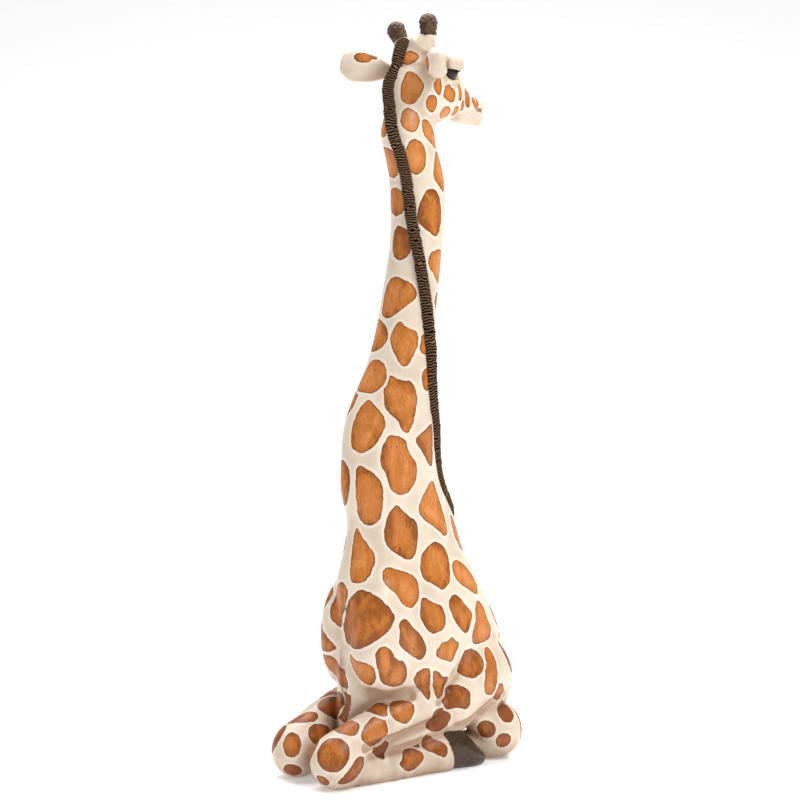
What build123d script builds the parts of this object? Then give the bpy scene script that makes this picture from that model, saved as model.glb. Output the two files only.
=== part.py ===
"""Kneeling giraffe statue that looks back over its own rump, built as separate hollow castings.

The giraffe kneels with all four legs folded under it. Its chest faces -Y, its left side +X, and +Z is up.
The neck twists half a turn on its way up, so that the head looks back along +Y. The origin lies on the ground
plane, on the body's plane of symmetry. All sizes are in millimetres.

The torso and the neck are thin-walled castings cut from one twisting trunk. The head, legs, hooves, ears,
horns, mane and tail are castings of their own, glued over sleeves, dowels and pegs. A steel rod ties the head
to a plywood base plate, and a poured weight above the plate keeps the tall figure upright.
"""

from build123d import *

from collections import namedtuple
from math import cos, pi, radians, sin, sqrt
import os

# Driving dimensions
WALL = 7.0  # casting thickness of torso and neck
GLUE_GAP = 0.2  # clearance left for adhesive between castings
FELT_INSET = 1.5  # how far the felt stays inside the torso's rim
FELT = 2.0  # thickness of the felt sheet, and so the height of the torso's rim above the ground
NECK_JOINT_Z = 330.0  # plane where the neck casting meets the torso
HEAD_JOINT_Z = 900.0  # plane where the head casting meets the neck
SLEEVE_HALF = 22.0  # how far a locating sleeve reaches into each casting
SECTION_POINTS = 16  # points on each closed trunk section

# Tie rod and base
ROD_Y = 18.0  # the rod stands upright at this distance behind the origin
ROD_D = 10.0
ROD_TOP = 955.0
PLATE_THICK = 18.0
NUT_ACROSS_FLATS = 17.0
NUT_HIGH = 8.0
WASHER_D = 26.0
WASHER_HIGH = 2.0
ROD_STUB = 2.0  # how far the rod's end stays inside the plate, below the nut
INSERT_D = 18.0  # threaded brass insert that takes the rod in the head
INSERT_LOW = 924.0
SLEEVE_WALL = 6.0
WEIGHT_TOP = 92.0

# Pegs and dowels
DOWEL_D = 8.0
PEG_D = 8.0
PEG_LONG = 13.0
TENON_D = 14.0
TENON_LONG = 11.0
TENON_ROOT = 2.0  # how far a tenon reaches back into its hoof
END_ROOM = 1.0  # space left past the end of each peg, tenon and rod
ROD_END_ROOM = 4.0  # space above the rod in the head
WASHER_ROOM = 2.0  # how much wider than the washer its recess is

# One horizontal section of the trunk: height, centre, half width, half length, turn of the back
Station = namedtuple("Station", "z y half_width half_length turn")
TRUNK = [
    Station(2, 6, 31, 100, 0),
    Station(45, 14, 43, 112, 0),
    Station(85, 27, 58, 126, 0),
    Station(120, 40, 72, 136, 0),
    Station(165, 43, 77, 141, 0),
    Station(200, 39, 76, 134, 0),
    Station(230, 31, 71, 126, 0),
    Station(268, 20, 64, 117, 0),
    Station(300, 13, 57, 103, 1),
    Station(354, 8, 50, 86, 4),
    Station(397, -8, 47, 77, 10),
    Station(441, -14, 45, 69, 18),
    Station(483, -14, 44, 64, 27),
    Station(528, -8, 42, 54, 41),
    Station(570, 4, 39.5, 46.5, 60),
    Station(613, 15, 38, 44.5, 80),
    Station(657, 23, 37.5, 43, 96),
    Station(699, 30, 37.5, 43, 112),
    Station(743, 37, 37, 43, 130),
    Station(790, 40, 38, 43.5, 144),
    Station(830, 38, 38, 43.5, 149),
    Station(872, 27, 36.5, 43, 152),
    Station(901, 22, 35.5, 43.5, 160),
    Station(925, 29, 32, 44, 172),
    Station(955, 34, 29.5, 44, 183),
    Station(985, 37, 26, 40, 185),
]

# The head's own frame: x towards the head's right side, y forward, z up, with the head turned and tilted
HEAD_CENTRE = (0.0, 34.0, 985.0)
HEAD_YAW = 5.0
HEAD_ROLL = 8.0
SIDE_OF_HEAD = {"left": -1, "right": 1}
SIDE_OF_BODY = {"left": 1, "right": -1}

# Sections of the head from nape to lips: forward, up, half height, half width
HEAD_SECTIONS = [
    (-38, -22, 16, 10),
    (-29, -20, 38, 21),
    (-5, -10, 53, 28),
    (20, -13, 59, 30.5),
    (37, -16, 57, 30.5),
    (55, -25, 48, 28),
    (76, -39, 31, 22),
    (88, -47, 23.5, 20),
    (99, -53, 21.5, 21),
    (112, -55, 20, 21),
    (121, -55, 11, 12),
]
MUZZLE = dict(centre=(0, 107, -55), long=22.0, round=20.5)
EYE = dict(side=25.0, forward=43.0, up=-5.0, radius=12.0)
LID = dict(side=25.0, forward=42.0, up=3.0, long=17.0, round=12.5)
HORN = dict(side=25.0, forward=7.0, up=38.0, long=36.0, radius=11.5, sunk=10.0, lean_out=0.3, lean_back=0.15)
EAR = dict(side=27.0, sweep=42.0)
EAR_ROOT = {"left": dict(forward=0.0, up=1.0), "right": dict(forward=8.0, up=-9.0)}
EAR_RISE = {"left": 0.3, "right": 0.05}
EAR_SECTIONS = [(0, 9, 9), (18, 10, 9), (33, 18, 13), (56, 22, 13), (73, 18, 10), (84, 8, 5)]
EAR_CUP = dict(along=58.0, front=15.0, long=26.0, round=13.0)

# The mane's strip along the spine
MANE = dict(low=350.0, high=960.0, lift=1.5, radius=9.5, end_radius=3.0)
MANE_CROWN = [(-34, 4), (-21, 29), (-11, 38)]

# The tail hangs from the rump and lies over the right haunch: points and radii of cord and tuft
TAIL = [(-6, 168, 186), (-14, 184, 158), (-34, 184, 124), (-56, 174, 98), (-72, 160, 80)]
TAIL_RADII = [11, 9, 7.5, 6.5, 6]
TUFT = [(-72.4, 159.6, 79.6), (-84, 148, 64), (-95, 132, 44), (-99, 116, 22), (-96, 104, 8)]
TUFT_RADII = [6.5, 10, 13, 11, 4]

# Swellings of the torso over the folded legs
SHOULDER = dict(x=28.0, y=-58.0, z=180.0, tall=92.0, round=47.0)
HAUNCH = dict(x=42.0, y=80.0, z=110.0, long=90.0, round=48.0, axis=(0.08, -0.72, -0.68))


def head_frame():
    """The head's frame, turned about the upright and then tilted to its left."""
    yaw, roll = radians(HEAD_YAW), radians(HEAD_ROLL)
    right = Vector(cos(yaw) * cos(roll), sin(yaw) * cos(roll), sin(roll))
    forward = Vector(-sin(yaw), cos(yaw), 0)
    return Plane(origin=HEAD_CENTRE, x_dir=right, z_dir=right.cross(forward))


HEAD = head_frame()


def on_head(side, forward, up):
    """A point given sideways, forward and up in the head's frame."""
    return HEAD.from_local_coords(Vector(side, forward, up))


def along_head(side, forward, up):
    """A direction given in the head's frame."""
    return (on_head(side, forward, up) - HEAD.origin).normalized()


def spheroid(centre, axis, long_radius, side_radius):
    """An egg shape, round about its long axis."""
    with BuildPart() as egg:
        with BuildSketch(Plane.XZ):
            Ellipse(side_radius, long_radius)
            split(bisect_by=Plane.YZ)
        revolve(axis=Axis.Z)
    return Plane(origin=centre, z_dir=axis) * egg.part


def rod_between(start, end, diameter):
    """A round bar from one point to another."""
    start, end = Vector(start), Vector(end)
    with BuildPart() as bar:
        with BuildSketch(Plane(origin=start, z_dir=end - start)):
            Circle(diameter / 2)
        extrude(amount=(end - start).length)
    return bar.part


def upright_bar(diameter, low, high):
    """A round bar on the tie rod's axis."""
    return rod_between((0, ROD_Y, low), (0, ROD_Y, high), diameter)


def section_outline(station, grow):
    """Points round a trunk section, always starting towards +X so that the loft's seam doesn't twist."""
    outline = []
    for i in range(SECTION_POINTS):
        heading = 2 * pi * i / SECTION_POINTS
        across = cos(heading + radians(station.turn)) / (station.half_width + grow)
        along = sin(heading + radians(station.turn)) / (station.half_length + grow)
        reach = 1 / sqrt(across**2 + along**2)
        outline.append((reach * cos(heading), station.y + reach * sin(heading)))
    return outline


def trunk(grow, low=None, high=None):
    """The trunk from ground to skull with every section grown, cut to a range of heights."""
    with BuildPart() as body:
        for station in TRUNK:
            with BuildSketch(Plane.XY.offset(station.z)):
                with BuildLine():
                    Spline(*section_outline(station, grow), periodic=True)
                make_face()
        loft()
        if low is not None:
            split(bisect_by=Plane.XY.offset(low), keep=Keep.TOP)
        if high is not None:
            split(bisect_by=Plane.XY.offset(high), keep=Keep.BOTTOM)
    return body.part


def limb(sections):
    """A smooth limb through oval sections: centre, heading, half width across and half height upright."""
    with BuildPart() as piece:
        for centre, heading, across, upright in sections:
            with BuildSketch(Plane(origin=centre, x_dir=(0, 0, 1), z_dir=heading)):
                Ellipse(upright, across)
        loft()
    return piece.part


def for_side(side, sections):
    """Limb sections given for the giraffe's left side, moved to the wanted side of the body."""
    flip = SIDE_OF_BODY[side]
    return [((flip * c[0], c[1], c[2]), (flip * h[0], h[1], h[2]), a, u) for c, h, a, u in sections]


def on_body(side, point):
    """A point given for the giraffe's left side, moved to the wanted side of the body."""
    return (SIDE_OF_BODY[side] * point[0], point[1], point[2])


def save(piece, label):
    """Name a finished piece and write it to its own file."""
    piece.label = label
    export_step(piece, f"parts/{label}.step")


os.makedirs("parts", exist_ok=True)


# --- Torso ----------------------------------------------------------------------------------------


def torso_outside(grow):
    """The torso's outer form: the lower trunk with a swelling over each folded leg."""
    axis = HAUNCH["axis"]
    with BuildPart() as form:
        add(trunk(grow, high=NECK_JOINT_Z))
        for flip in SIDE_OF_BODY.values():
            add(
                spheroid(
                    (flip * SHOULDER["x"], SHOULDER["y"], SHOULDER["z"]),
                    (0, 0, 1),
                    SHOULDER["tall"] + grow,
                    SHOULDER["round"] + grow,
                )
            )
            add(
                spheroid(
                    (flip * HAUNCH["x"], HAUNCH["y"], HAUNCH["z"]),
                    (flip * axis[0], axis[1], axis[2]),
                    HAUNCH["long"] + grow,
                    HAUNCH["round"] + grow,
                )
            )
        split(bisect_by=Plane.XY.offset(FELT), keep=Keep.TOP)
    return form.part


def rim_footprint(grow):
    """The outline of the torso's rim, carried down to the ground."""
    with BuildPart() as sheet:
        with BuildSketch():
            with BuildLine():
                Spline(*section_outline(TRUNK[0], grow), periodic=True)
            make_face()
        extrude(amount=FELT)
    return sheet.part


torso_form = torso_outside(0)
torso_clearance = torso_outside(GLUE_GAP) + rim_footprint(GLUE_GAP)
cavity = trunk(-WALL)

# --- Legs: a forearm or hock, a shin along the ground, and a hoof on a round tenon ----------------

FORELEG = {
    "forearm": [
        ((52, 22, 104), (0, -1, -0.1), 24, 30),
        ((56, -15, 97), (0, -1, -0.2), 25, 27),
        ((54, -65, 83), (0, -1, -0.3), 25, 25),
        ((48, -110, 64), (0, -1, -0.4), 26, 28),
        ((44, -140, 50), (0, -1, -0.5), 28, 30),
    ],
    "shin": [
        ((44, -150, 33), (0, 1, 0), 26, 26),
        ((48, -110, 26), (0, 1, 0), 23, 25),
        ((54, -55, 22), (0, 1, 0), 21, 22),
        ((58, 0, 25), (0, 1, 0), 22, 25),
        ((60, 30, 30), (0, 1, 0), 25, 30),
        ((61, 44, 31), (0, 1, 0), 22, 29),
    ],
    "joint": ((44, -143, 38), (0, 0.5, 1), 40, 36),
    "hoof": [
        ((61, 44.2, 31), (0, 1, 0), 22, 30),
        ((62, 70, 24), (0, 1, 0), 22, 25),
        ((63, 95, 14), (0, 1, 0), 20, 16),
        ((63, 113, 7), (0, 1, 0), 14, 8),
    ],
    "tenon": ((61, 44.2, 29), (0, -1, 0)),
    "dowel": ((66, 5, 100), (30, 5, 100)),
}
HINDLEG = {
    "forearm": [
        ((50, 98, 74), (0, 1, -0.4), 22, 24),
        ((54, 118, 63), (0, 1, -0.5), 26, 28),
        ((57, 138, 50), (0, 1, -0.6), 28, 30),
    ],
    "shin": [
        ((57, 148, 33), (0, -1, 0), 27, 28),
        ((47, 118, 24), (-0.3, -1, 0), 18, 23),
        ((36, 92, 20), (-0.3, -1, 0), 15, 19),
        ((33.6, 84, 20), (-0.3, -1, 0), 15, 19),
    ],
    "joint": ((58, 142, 42), (0, -0.4, 1), 38, 34),
    "hoof": [
        ((33.54, 83.81, 20), (-0.3, -1, 0), 14.5, 18.5),
        ((30, 64, 15), (-0.15, -1, 0), 15, 14.5),
        ((27, 44, 8), (-0.15, -1, 0), 10, 8),
    ],
    "tenon": ((33.5, 83.8, 17), (0.3, 1, 0)),
    "dowel": ((55, 134, 52), (46, 104, 84)),
}


def ground_cut(piece):
    """The piece with everything below the ground plane taken off."""
    with BuildPart() as flat:
        add(piece)
        split(bisect_by=Plane.XY, keep=Keep.TOP)
    return flat.part


def leg_form(shape, side):
    """The leg's whole form before it is fitted to the torso."""
    centre, axis, long_radius, side_radius = shape["joint"]
    flip = SIDE_OF_BODY[side]
    with BuildPart() as form:
        add(limb(for_side(side, shape["forearm"])))
        add(limb(for_side(side, shape["shin"])))
        add(spheroid(on_body(side, centre), (flip * axis[0], axis[1], axis[2]), long_radius, side_radius))
    return ground_cut(form.part)


def tenon_bar(shape, side, diameter, length):
    """The round tenon that holds a hoof in its leg, or the hole for it."""
    root, heading = shape["tenon"]
    root = Vector(*on_body(side, root))
    heading = Vector(*on_body(side, heading)).normalized()
    return rod_between(root - heading * TENON_ROOT, root + heading * length, diameter)


def hoof_form(shape, side, grow=0.0):
    """The hoof's wedge, resting on the ground."""
    return ground_cut(limb([(c, h, a + grow, u + grow) for c, h, a, u in for_side(side, shape["hoof"])]))


leg_dowels = []
for name, shape in {"front": FORELEG, "hind": HINDLEG}.items():
    for side in SIDE_OF_BODY:
        start, end = (Vector(*on_body(side, p)) for p in shape["dowel"])
        leg_dowels.append(rod_between(start, end, DOWEL_D))
        with BuildPart() as hoof:
            add(hoof_form(shape, side))
            add(tenon_bar(shape, side, TENON_D, TENON_LONG))
            add(torso_clearance, mode=Mode.SUBTRACT)
            if name == "hind":
                add(hoof_form(FORELEG, side, GLUE_GAP), mode=Mode.SUBTRACT)
        with BuildPart() as leg:
            add(leg_form(shape, side))
            add(torso_clearance, mode=Mode.SUBTRACT)
            if name == "hind":
                add(hoof_form(FORELEG, side, GLUE_GAP), mode=Mode.SUBTRACT)
            add(tenon_bar(shape, side, TENON_D + 2 * GLUE_GAP, TENON_LONG + END_ROOM), mode=Mode.SUBTRACT)
            add(rod_between(start, end, DOWEL_D + 2 * GLUE_GAP), mode=Mode.SUBTRACT)
        save(leg.part, f"{name}_{side}_leg")
        save(hoof.part, f"{name}_{side}_hoof")

with BuildPart() as torso_shell:
    add(torso_form)
    add(cavity, mode=Mode.SUBTRACT)
    for dowel_ends in (FORELEG["dowel"], HINDLEG["dowel"]):
        for side in SIDE_OF_BODY:
            start, end = (Vector(*on_body(side, p)) for p in dowel_ends)
            add(rod_between(start, end, DOWEL_D + 2 * GLUE_GAP), mode=Mode.SUBTRACT)
save(torso_shell.part, "torso_shell")
save(Compound(children=leg_dowels), "leg_dowels")


# --- Neck and the two sleeves that line it up -----------------------------------------------------

neck_clearance = trunk(GLUE_GAP, low=NECK_JOINT_Z, high=HEAD_JOINT_Z)

with BuildPart() as neck_shell:
    add(trunk(0, low=NECK_JOINT_Z, high=HEAD_JOINT_Z))
    add(cavity, mode=Mode.SUBTRACT)
save(neck_shell.part, "neck_shell")


def sleeve(joint_z):
    """A plywood ring that fits inside two castings across their joint."""
    low, high = joint_z - SLEEVE_HALF, joint_z + SLEEVE_HALF
    with BuildPart() as ring:
        add(trunk(-WALL - GLUE_GAP, low=low, high=high))
        add(trunk(-WALL - SLEEVE_WALL, low=low, high=high), mode=Mode.SUBTRACT)
    return ring.part


save(sleeve(NECK_JOINT_Z), "neck_sleeve")
save(sleeve(HEAD_JOINT_Z), "head_sleeve")


# --- Head -----------------------------------------------------------------------------------------


def head_outside(grow):
    """The head's outer form: skull and muzzle on the last stretch of the trunk."""
    with BuildPart() as form:
        for forward, up, half_height, half_width in HEAD_SECTIONS:
            with BuildSketch(Plane(origin=on_head(0, forward, up), x_dir=HEAD.z_dir, z_dir=HEAD.y_dir)):
                Ellipse(half_height + grow, half_width + grow)
        loft()
        add(spheroid(on_head(*MUZZLE["centre"]), HEAD.y_dir, MUZZLE["long"] + grow, MUZZLE["round"] + grow))
        add(trunk(grow, low=HEAD_JOINT_Z))
    return form.part


def on_side(side, place):
    """A point of a paired feature on the wanted side of the head."""
    return on_head(SIDE_OF_HEAD[side] * place["side"], place["forward"], place["up"])


head_form = head_outside(0)
head_clearance = head_outside(GLUE_GAP)


def eyeball(side, grow):
    """A glass eye, or its socket when grown."""
    with BuildPart(Plane(origin=on_side(side, EYE), z_dir=along_head(SIDE_OF_HEAD[side], 0.3, 0.1))) as ball:
        Sphere(EYE["radius"] + grow)
    return ball.part


def horn_line(side):
    """Root of a horn and the direction in which it leans back and out."""
    return on_side(side, HORN), along_head(SIDE_OF_HEAD[side] * HORN["lean_out"], -HORN["lean_back"], 1)


def ear_line(side):
    """Root of an ear and the direction in which it sweeps back."""
    sweep = radians(EAR["sweep"])
    heading = along_head(SIDE_OF_HEAD[side] * cos(sweep), -sin(sweep), EAR_RISE[side])
    return on_side(side, EAR | EAR_ROOT[side]), heading


def peg(root, heading, diameter, length):
    """A peg centred on the joint between a casting and the head."""
    return rod_between(root - heading * length, root + heading * length, diameter)


def horn(side):
    """A blunt horn, a little narrower at the end that is sunk into the head."""
    root, heading = horn_line(side)
    radius, length = HORN["radius"], HORN["long"]
    with BuildPart() as stub:
        with BuildSketch(Plane.XZ):
            with BuildLine():
                Line((0, -HORN["sunk"]), (radius * 0.8, -HORN["sunk"]))
                Spline(
                    (radius * 0.8, -HORN["sunk"]),
                    (radius, length - radius),
                    (0, length),
                    tangents=[(0.1, 1), (-1, 0)],
                )
                Line((0, length), (0, -HORN["sunk"]))
            make_face()
        revolve(axis=Axis.Z)
    return Plane(origin=root, z_dir=heading) * stub.part


def ear(side):
    """A leaf-shaped ear on a short stalk, hollowed on its front face."""
    root, heading = ear_line(side)
    upright = (HEAD.z_dir - heading * HEAD.z_dir.dot(heading)).normalized()
    with BuildPart() as leaf:
        for along, half_height, half_thick in EAR_SECTIONS:
            with BuildSketch(Plane(origin=root + heading * along, x_dir=upright, z_dir=heading)):
                Ellipse(half_height, half_thick)
        loft()
        front = upright.cross(heading) * SIDE_OF_HEAD[side]
        cup_centre = root + heading * EAR_CUP["along"] + front * EAR_CUP["front"]
        add(spheroid(cup_centre, heading, EAR_CUP["long"], EAR_CUP["round"]), mode=Mode.SUBTRACT)
    return leaf.part


horn_pegs, ear_pegs = [], []
for side in SIDE_OF_HEAD:
    for line, pegs, make, label in (
        (horn_line, horn_pegs, horn, "horn"),
        (ear_line, ear_pegs, ear, "ear"),
    ):
        root, heading = line(side)
        pegs.append(peg(root, heading, PEG_D, PEG_LONG))
        with BuildPart() as piece:
            add(make(side))
            add(head_clearance, mode=Mode.SUBTRACT)
            add(peg(root, heading, PEG_D + 2 * GLUE_GAP, PEG_LONG + END_ROOM), mode=Mode.SUBTRACT)
        save(piece.part, f"{side}_{label}")
    save(eyeball(side, 0), f"{side}_eye")
save(Compound(children=horn_pegs), "horn_pegs")
save(Compound(children=ear_pegs), "ear_pegs")

with BuildPart() as head:
    add(head_form)
    for side in SIDE_OF_HEAD:
        add(spheroid(on_side(side, LID), HEAD.y_dir, LID["long"], LID["round"]))
    sleeve_top = HEAD_JOINT_Z + SLEEVE_HALF + END_ROOM
    add(trunk(-WALL, low=HEAD_JOINT_Z - END_ROOM, high=sleeve_top), mode=Mode.SUBTRACT)
    add(upright_bar(INSERT_D, HEAD_JOINT_Z, ROD_TOP + ROD_END_ROOM), mode=Mode.SUBTRACT)
    for side in SIDE_OF_HEAD:
        add(eyeball(side, GLUE_GAP), mode=Mode.SUBTRACT)
        for line in (horn_line, ear_line):
            root, heading = line(side)
            add(peg(root, heading, PEG_D + 2 * GLUE_GAP, PEG_LONG + END_ROOM), mode=Mode.SUBTRACT)
save(head.part, "head")


# --- Mane: a strip that follows the spine from the shoulders to between the horns -----------------


def tapered(points, radii):
    """A round tapering cord through the points."""
    headings = [(b - a).normalized() for a, b in zip(points, points[1:])]
    headings = [headings[0]] + [(a + b).normalized() for a, b in zip(headings, headings[1:])] + [headings[-1]]
    with BuildPart() as cord:
        for centre, heading, radius in zip(points, headings, radii):
            with BuildSketch(Plane(origin=centre, x_dir=(0, 1, 0), z_dir=heading)):
                Circle(radius)
        loft()
    return cord.part


def spine_points():
    """Points along the spine, from the shoulders up the turning neck and over the crown."""
    points = []
    for station in TRUNK:
        if MANE["low"] < station.z < MANE["high"]:
            turn = radians(station.turn)
            outward = Vector(sin(turn), cos(turn), 0)
            points.append(Vector(0, station.y, station.z) + outward * (station.half_length + MANE["lift"]))
    return points + [on_head(0, forward, up) for forward, up in MANE_CROWN]


spine = spine_points()
mane_radii = [MANE["end_radius"]] + [MANE["radius"]] * (len(spine) - 2) + [MANE["end_radius"]]
with BuildPart() as mane:
    add(tapered(spine, mane_radii))
    add(neck_clearance, mode=Mode.SUBTRACT)
    add(head_clearance, mode=Mode.SUBTRACT)
save(mane.part, "mane")


# --- Tail -----------------------------------------------------------------------------------------


tail_points = [Vector(*p) for p in TAIL]
tuft_points = [Vector(*p) for p in TUFT]
hind_right = leg_form(HINDLEG, "right")
with BuildPart() as tail:
    add(tapered(tail_points, TAIL_RADII))
    add(torso_clearance, mode=Mode.SUBTRACT)
with BuildPart() as tail_tuft:
    add(tapered(tuft_points, TUFT_RADII))
    add(hind_right, mode=Mode.SUBTRACT)
    add(torso_clearance, mode=Mode.SUBTRACT)
save(tail.part, "tail")
save(tail_tuft.part, "tail_tuft")


# --- Base, tie rod and weight ---------------------------------------------------------------------


def upright_tube(outer, inner, low, high):
    """A tube on the tie rod's axis."""
    with BuildPart() as tube:
        add(upright_bar(outer, low, high))
        add(upright_bar(inner, low, high), mode=Mode.SUBTRACT)
    return tube.part


plate_top = FELT + PLATE_THICK
recess_top = FELT + NUT_HIGH + WASHER_HIGH + ROD_STUB
with BuildPart() as base_plate:
    add(trunk(-WALL - GLUE_GAP, high=plate_top))
    add(upright_bar(WASHER_D + WASHER_ROOM, 0, recess_top), mode=Mode.SUBTRACT)
    add(upright_bar(ROD_D + 2 * GLUE_GAP, 0, plate_top + END_ROOM), mode=Mode.SUBTRACT)
save(base_plate.part, "base_plate")
save(rim_footprint(-FELT_INSET), "base_felt")

save(upright_bar(ROD_D, FELT + END_ROOM, ROD_TOP), "neck_rod")
save(upright_tube(WASHER_D, ROD_D + 2 * GLUE_GAP, recess_top - WASHER_HIGH, recess_top), "rod_washer")

with BuildPart() as rod_nut:
    with BuildSketch(Plane.XY.offset(recess_top - WASHER_HIGH - NUT_HIGH)):
        with Locations((0, ROD_Y)):
            RegularPolygon(NUT_ACROSS_FLATS / 2, 6, major_radius=False)
            Circle(ROD_D / 2 + GLUE_GAP, mode=Mode.SUBTRACT)
    extrude(amount=NUT_HIGH)
save(rod_nut.part, "rod_nut")
save(upright_tube(INSERT_D - 2 * GLUE_GAP, ROD_D + 2 * GLUE_GAP, INSERT_LOW, ROD_TOP), "rod_insert")

with BuildPart() as base_weight:
    add(trunk(-WALL, low=plate_top, high=WEIGHT_TOP))
    add(upright_bar(ROD_D + 2 * GLUE_GAP, plate_top, WEIGHT_TOP), mode=Mode.SUBTRACT)
save(base_weight.part, "base_weight")
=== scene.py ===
"""Looks of the kneeling giraffe statue: a smooth hand-painted casting in cream with orange-brown patches.

The castings are sculpted as distance fields in the CAD frame, meshed, and cut where the CAD castings meet.
The patches are a vertex attribute, the distance to the nearest painted edge, which the paint material reads.
Lengths in the sculpting code are millimetres; meshes are stored in metres.
"""

from itertools import product
from math import cos, pi, radians, sin

import bpy
import numpy as np
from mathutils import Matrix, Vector


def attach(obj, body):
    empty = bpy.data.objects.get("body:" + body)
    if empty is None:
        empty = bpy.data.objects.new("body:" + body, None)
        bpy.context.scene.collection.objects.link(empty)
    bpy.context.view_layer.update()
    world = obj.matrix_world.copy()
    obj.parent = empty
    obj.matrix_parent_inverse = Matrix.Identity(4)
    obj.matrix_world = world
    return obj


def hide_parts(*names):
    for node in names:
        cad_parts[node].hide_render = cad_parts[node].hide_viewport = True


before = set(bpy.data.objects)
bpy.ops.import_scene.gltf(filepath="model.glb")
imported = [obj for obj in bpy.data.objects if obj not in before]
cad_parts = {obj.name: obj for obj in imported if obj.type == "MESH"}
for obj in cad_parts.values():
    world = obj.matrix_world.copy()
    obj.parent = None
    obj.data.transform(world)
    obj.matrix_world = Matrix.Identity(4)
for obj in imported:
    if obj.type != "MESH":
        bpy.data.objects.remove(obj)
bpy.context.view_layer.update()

MM = 0.001
FAR = 40.0  # distances to patches are cut off here
GLUE = 0.2  # how far a hoof, horn or ear stays clear of the casting it sits on
ROOT = "root"


# --- Small vector helpers ---


def vec(*values):
    """An array of floats."""
    return np.array(values, float)


def length(v):
    """Lengths of the vectors along the last axis."""
    return np.sqrt((v * v).sum(-1))


def unit(v):
    """The vectors, each made one long."""
    return v / np.maximum(length(v), 1e-9)[..., None]


def cubic(knots, values, at):
    """A natural cubic spline through the values, read at the given places."""
    knots, values, at = np.asarray(knots, float), np.asarray(values, float), np.asarray(at, float)
    gap = np.diff(knots)
    count = len(knots)
    system = np.eye(count)
    target = np.zeros((count,) + values.shape[1:])
    slope = np.diff(values, axis=0) / gap.reshape((-1,) + (1,) * (values.ndim - 1))
    for i in range(1, count - 1):
        system[i, i - 1 : i + 2] = gap[i - 1], 2 * (gap[i - 1] + gap[i]), gap[i]
        target[i] = 6 * (slope[i] - slope[i - 1])
    bend = np.linalg.solve(system, target)
    i = np.clip(np.searchsorted(knots, at) - 1, 0, count - 2)
    shape = at.shape + (1,) * (values.ndim - 1)
    h = gap[i].reshape(shape)
    a = (knots[i + 1] - np.clip(at, knots[0], knots[-1])).reshape(shape) / h
    b = 1 - a
    return a * values[i] + b * values[i + 1] + ((a**3 - a) * bend[i] + (b**3 - b) * bend[i + 1]) * h * h / 6


# --- Distance fields: negative inside ---


def ellipsoid(p, centre, radii, axes=None):
    """About the distance to an ellipsoid whose axes are the rows of axes."""
    q = p - centre
    if axes is not None:
        q = q @ axes.T
    radii = vec(*radii)
    near = length(q / radii)
    return near * (near - 1) / np.maximum(length(q / radii**2), 1e-6)


def cone(p, start, end, start_radius, end_radius):
    """A round bar with rounded ends whose radius changes along it."""
    start, end = vec(*start), vec(*end)
    along = end - start
    t = np.clip((p - start) @ along / (along @ along), 0, 1)
    return length(p - start - t[..., None] * along) - (start_radius + t * (end_radius - start_radius))


def union(a, b, soft=0.0):
    """The union of two forms, filleted over about the given length."""
    if soft <= 0:
        return np.minimum(a, b)
    h = np.maximum(soft - np.abs(a - b), 0) / soft
    return np.minimum(a, b) - h * h * soft / 4


def cut(a, b, soft=0.0):
    """Form a with form b taken away, its new edge rounded."""
    return -union(-a, b, soft)


def joined(form, *additions):
    """A form with others added in turn, each filleted on over its own length."""
    for other, soft in additions:
        form = union(form, other, soft)
    return form


def mirrored(p):
    """Both halves of a symmetric form at once: every point is moved to the body's left."""
    q = p.copy()
    q[..., 0] = np.abs(q[..., 0])
    return q


def chain(p, stations, steps=3, soft=5.0):
    """A limb through (x, y, z, half width, half height) stations, oval in section."""
    stations = np.asarray(stations, float)
    knots = np.arange(len(stations))
    fine = cubic(knots, stations, np.linspace(0, knots[-1], steps * (len(stations) - 1) + 1))
    result = None
    for a, b in zip(fine, fine[1:]):
        along = b[:3] - a[:3]
        t = np.clip((p - a[:3]) @ along / (along @ along), 0, 1)
        q = p - a[:3] - t[..., None] * along
        wide = a[3] + t * (b[3] - a[3])
        high = a[4] + t * (b[4] - a[4])
        near = np.sqrt((q[..., 0] ** 2 + q[..., 1] ** 2) / wide**2 + q[..., 2] ** 2 / high**2)
        piece = (near - 1) * np.minimum(wide, high)
        result = piece if result is None else union(result, piece, soft)
    return result


# --- The giraffe's forms ---

NECK_JOINT, HEAD_JOINT = 330.0, 900.0
RIM = 2.0

# The castings' trunk sections: height, centre, half width, half length, turn of the back in degrees
TRUNK = np.array([
    (2, 6, 31, 100, 0), (45, 14, 43, 112, 0), (85, 27, 58, 126, 0), (120, 40, 72, 136, 0),
    (165, 43, 77, 141, 0), (200, 39, 76, 134, 0), (230, 31, 71, 126, 0), (268, 20, 64, 117, 0),
    (300, 13, 57, 103, 1), (354, 8, 50, 86, 4), (397, -8, 47, 77, 10), (441, -14, 45, 69, 18),
    (483, -14, 44, 64, 27), (528, -8, 42, 54, 41), (570, 4, 39.5, 46.5, 60), (613, 15, 38, 44.5, 80),
    (657, 23, 37.5, 43, 96), (699, 30, 37.5, 43, 112), (743, 37, 37, 43, 130), (790, 40, 38, 43.5, 144),
    (830, 38, 38, 43.5, 149), (872, 27, 36.5, 43, 152), (901, 22, 35.5, 43.5, 160), (925, 29, 32, 44, 172),
    (955, 34, 29.5, 44, 183), (985, 37, 26, 40, 185),
], float)


def trunk_section(z):
    """Centre, half width, half length and turn (radians) of the trunk at each height."""
    y, wide, long, turn = cubic(TRUNK[:, 0], TRUNK[:, 1:], z).T
    return y, wide, long, np.radians(turn)


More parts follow.
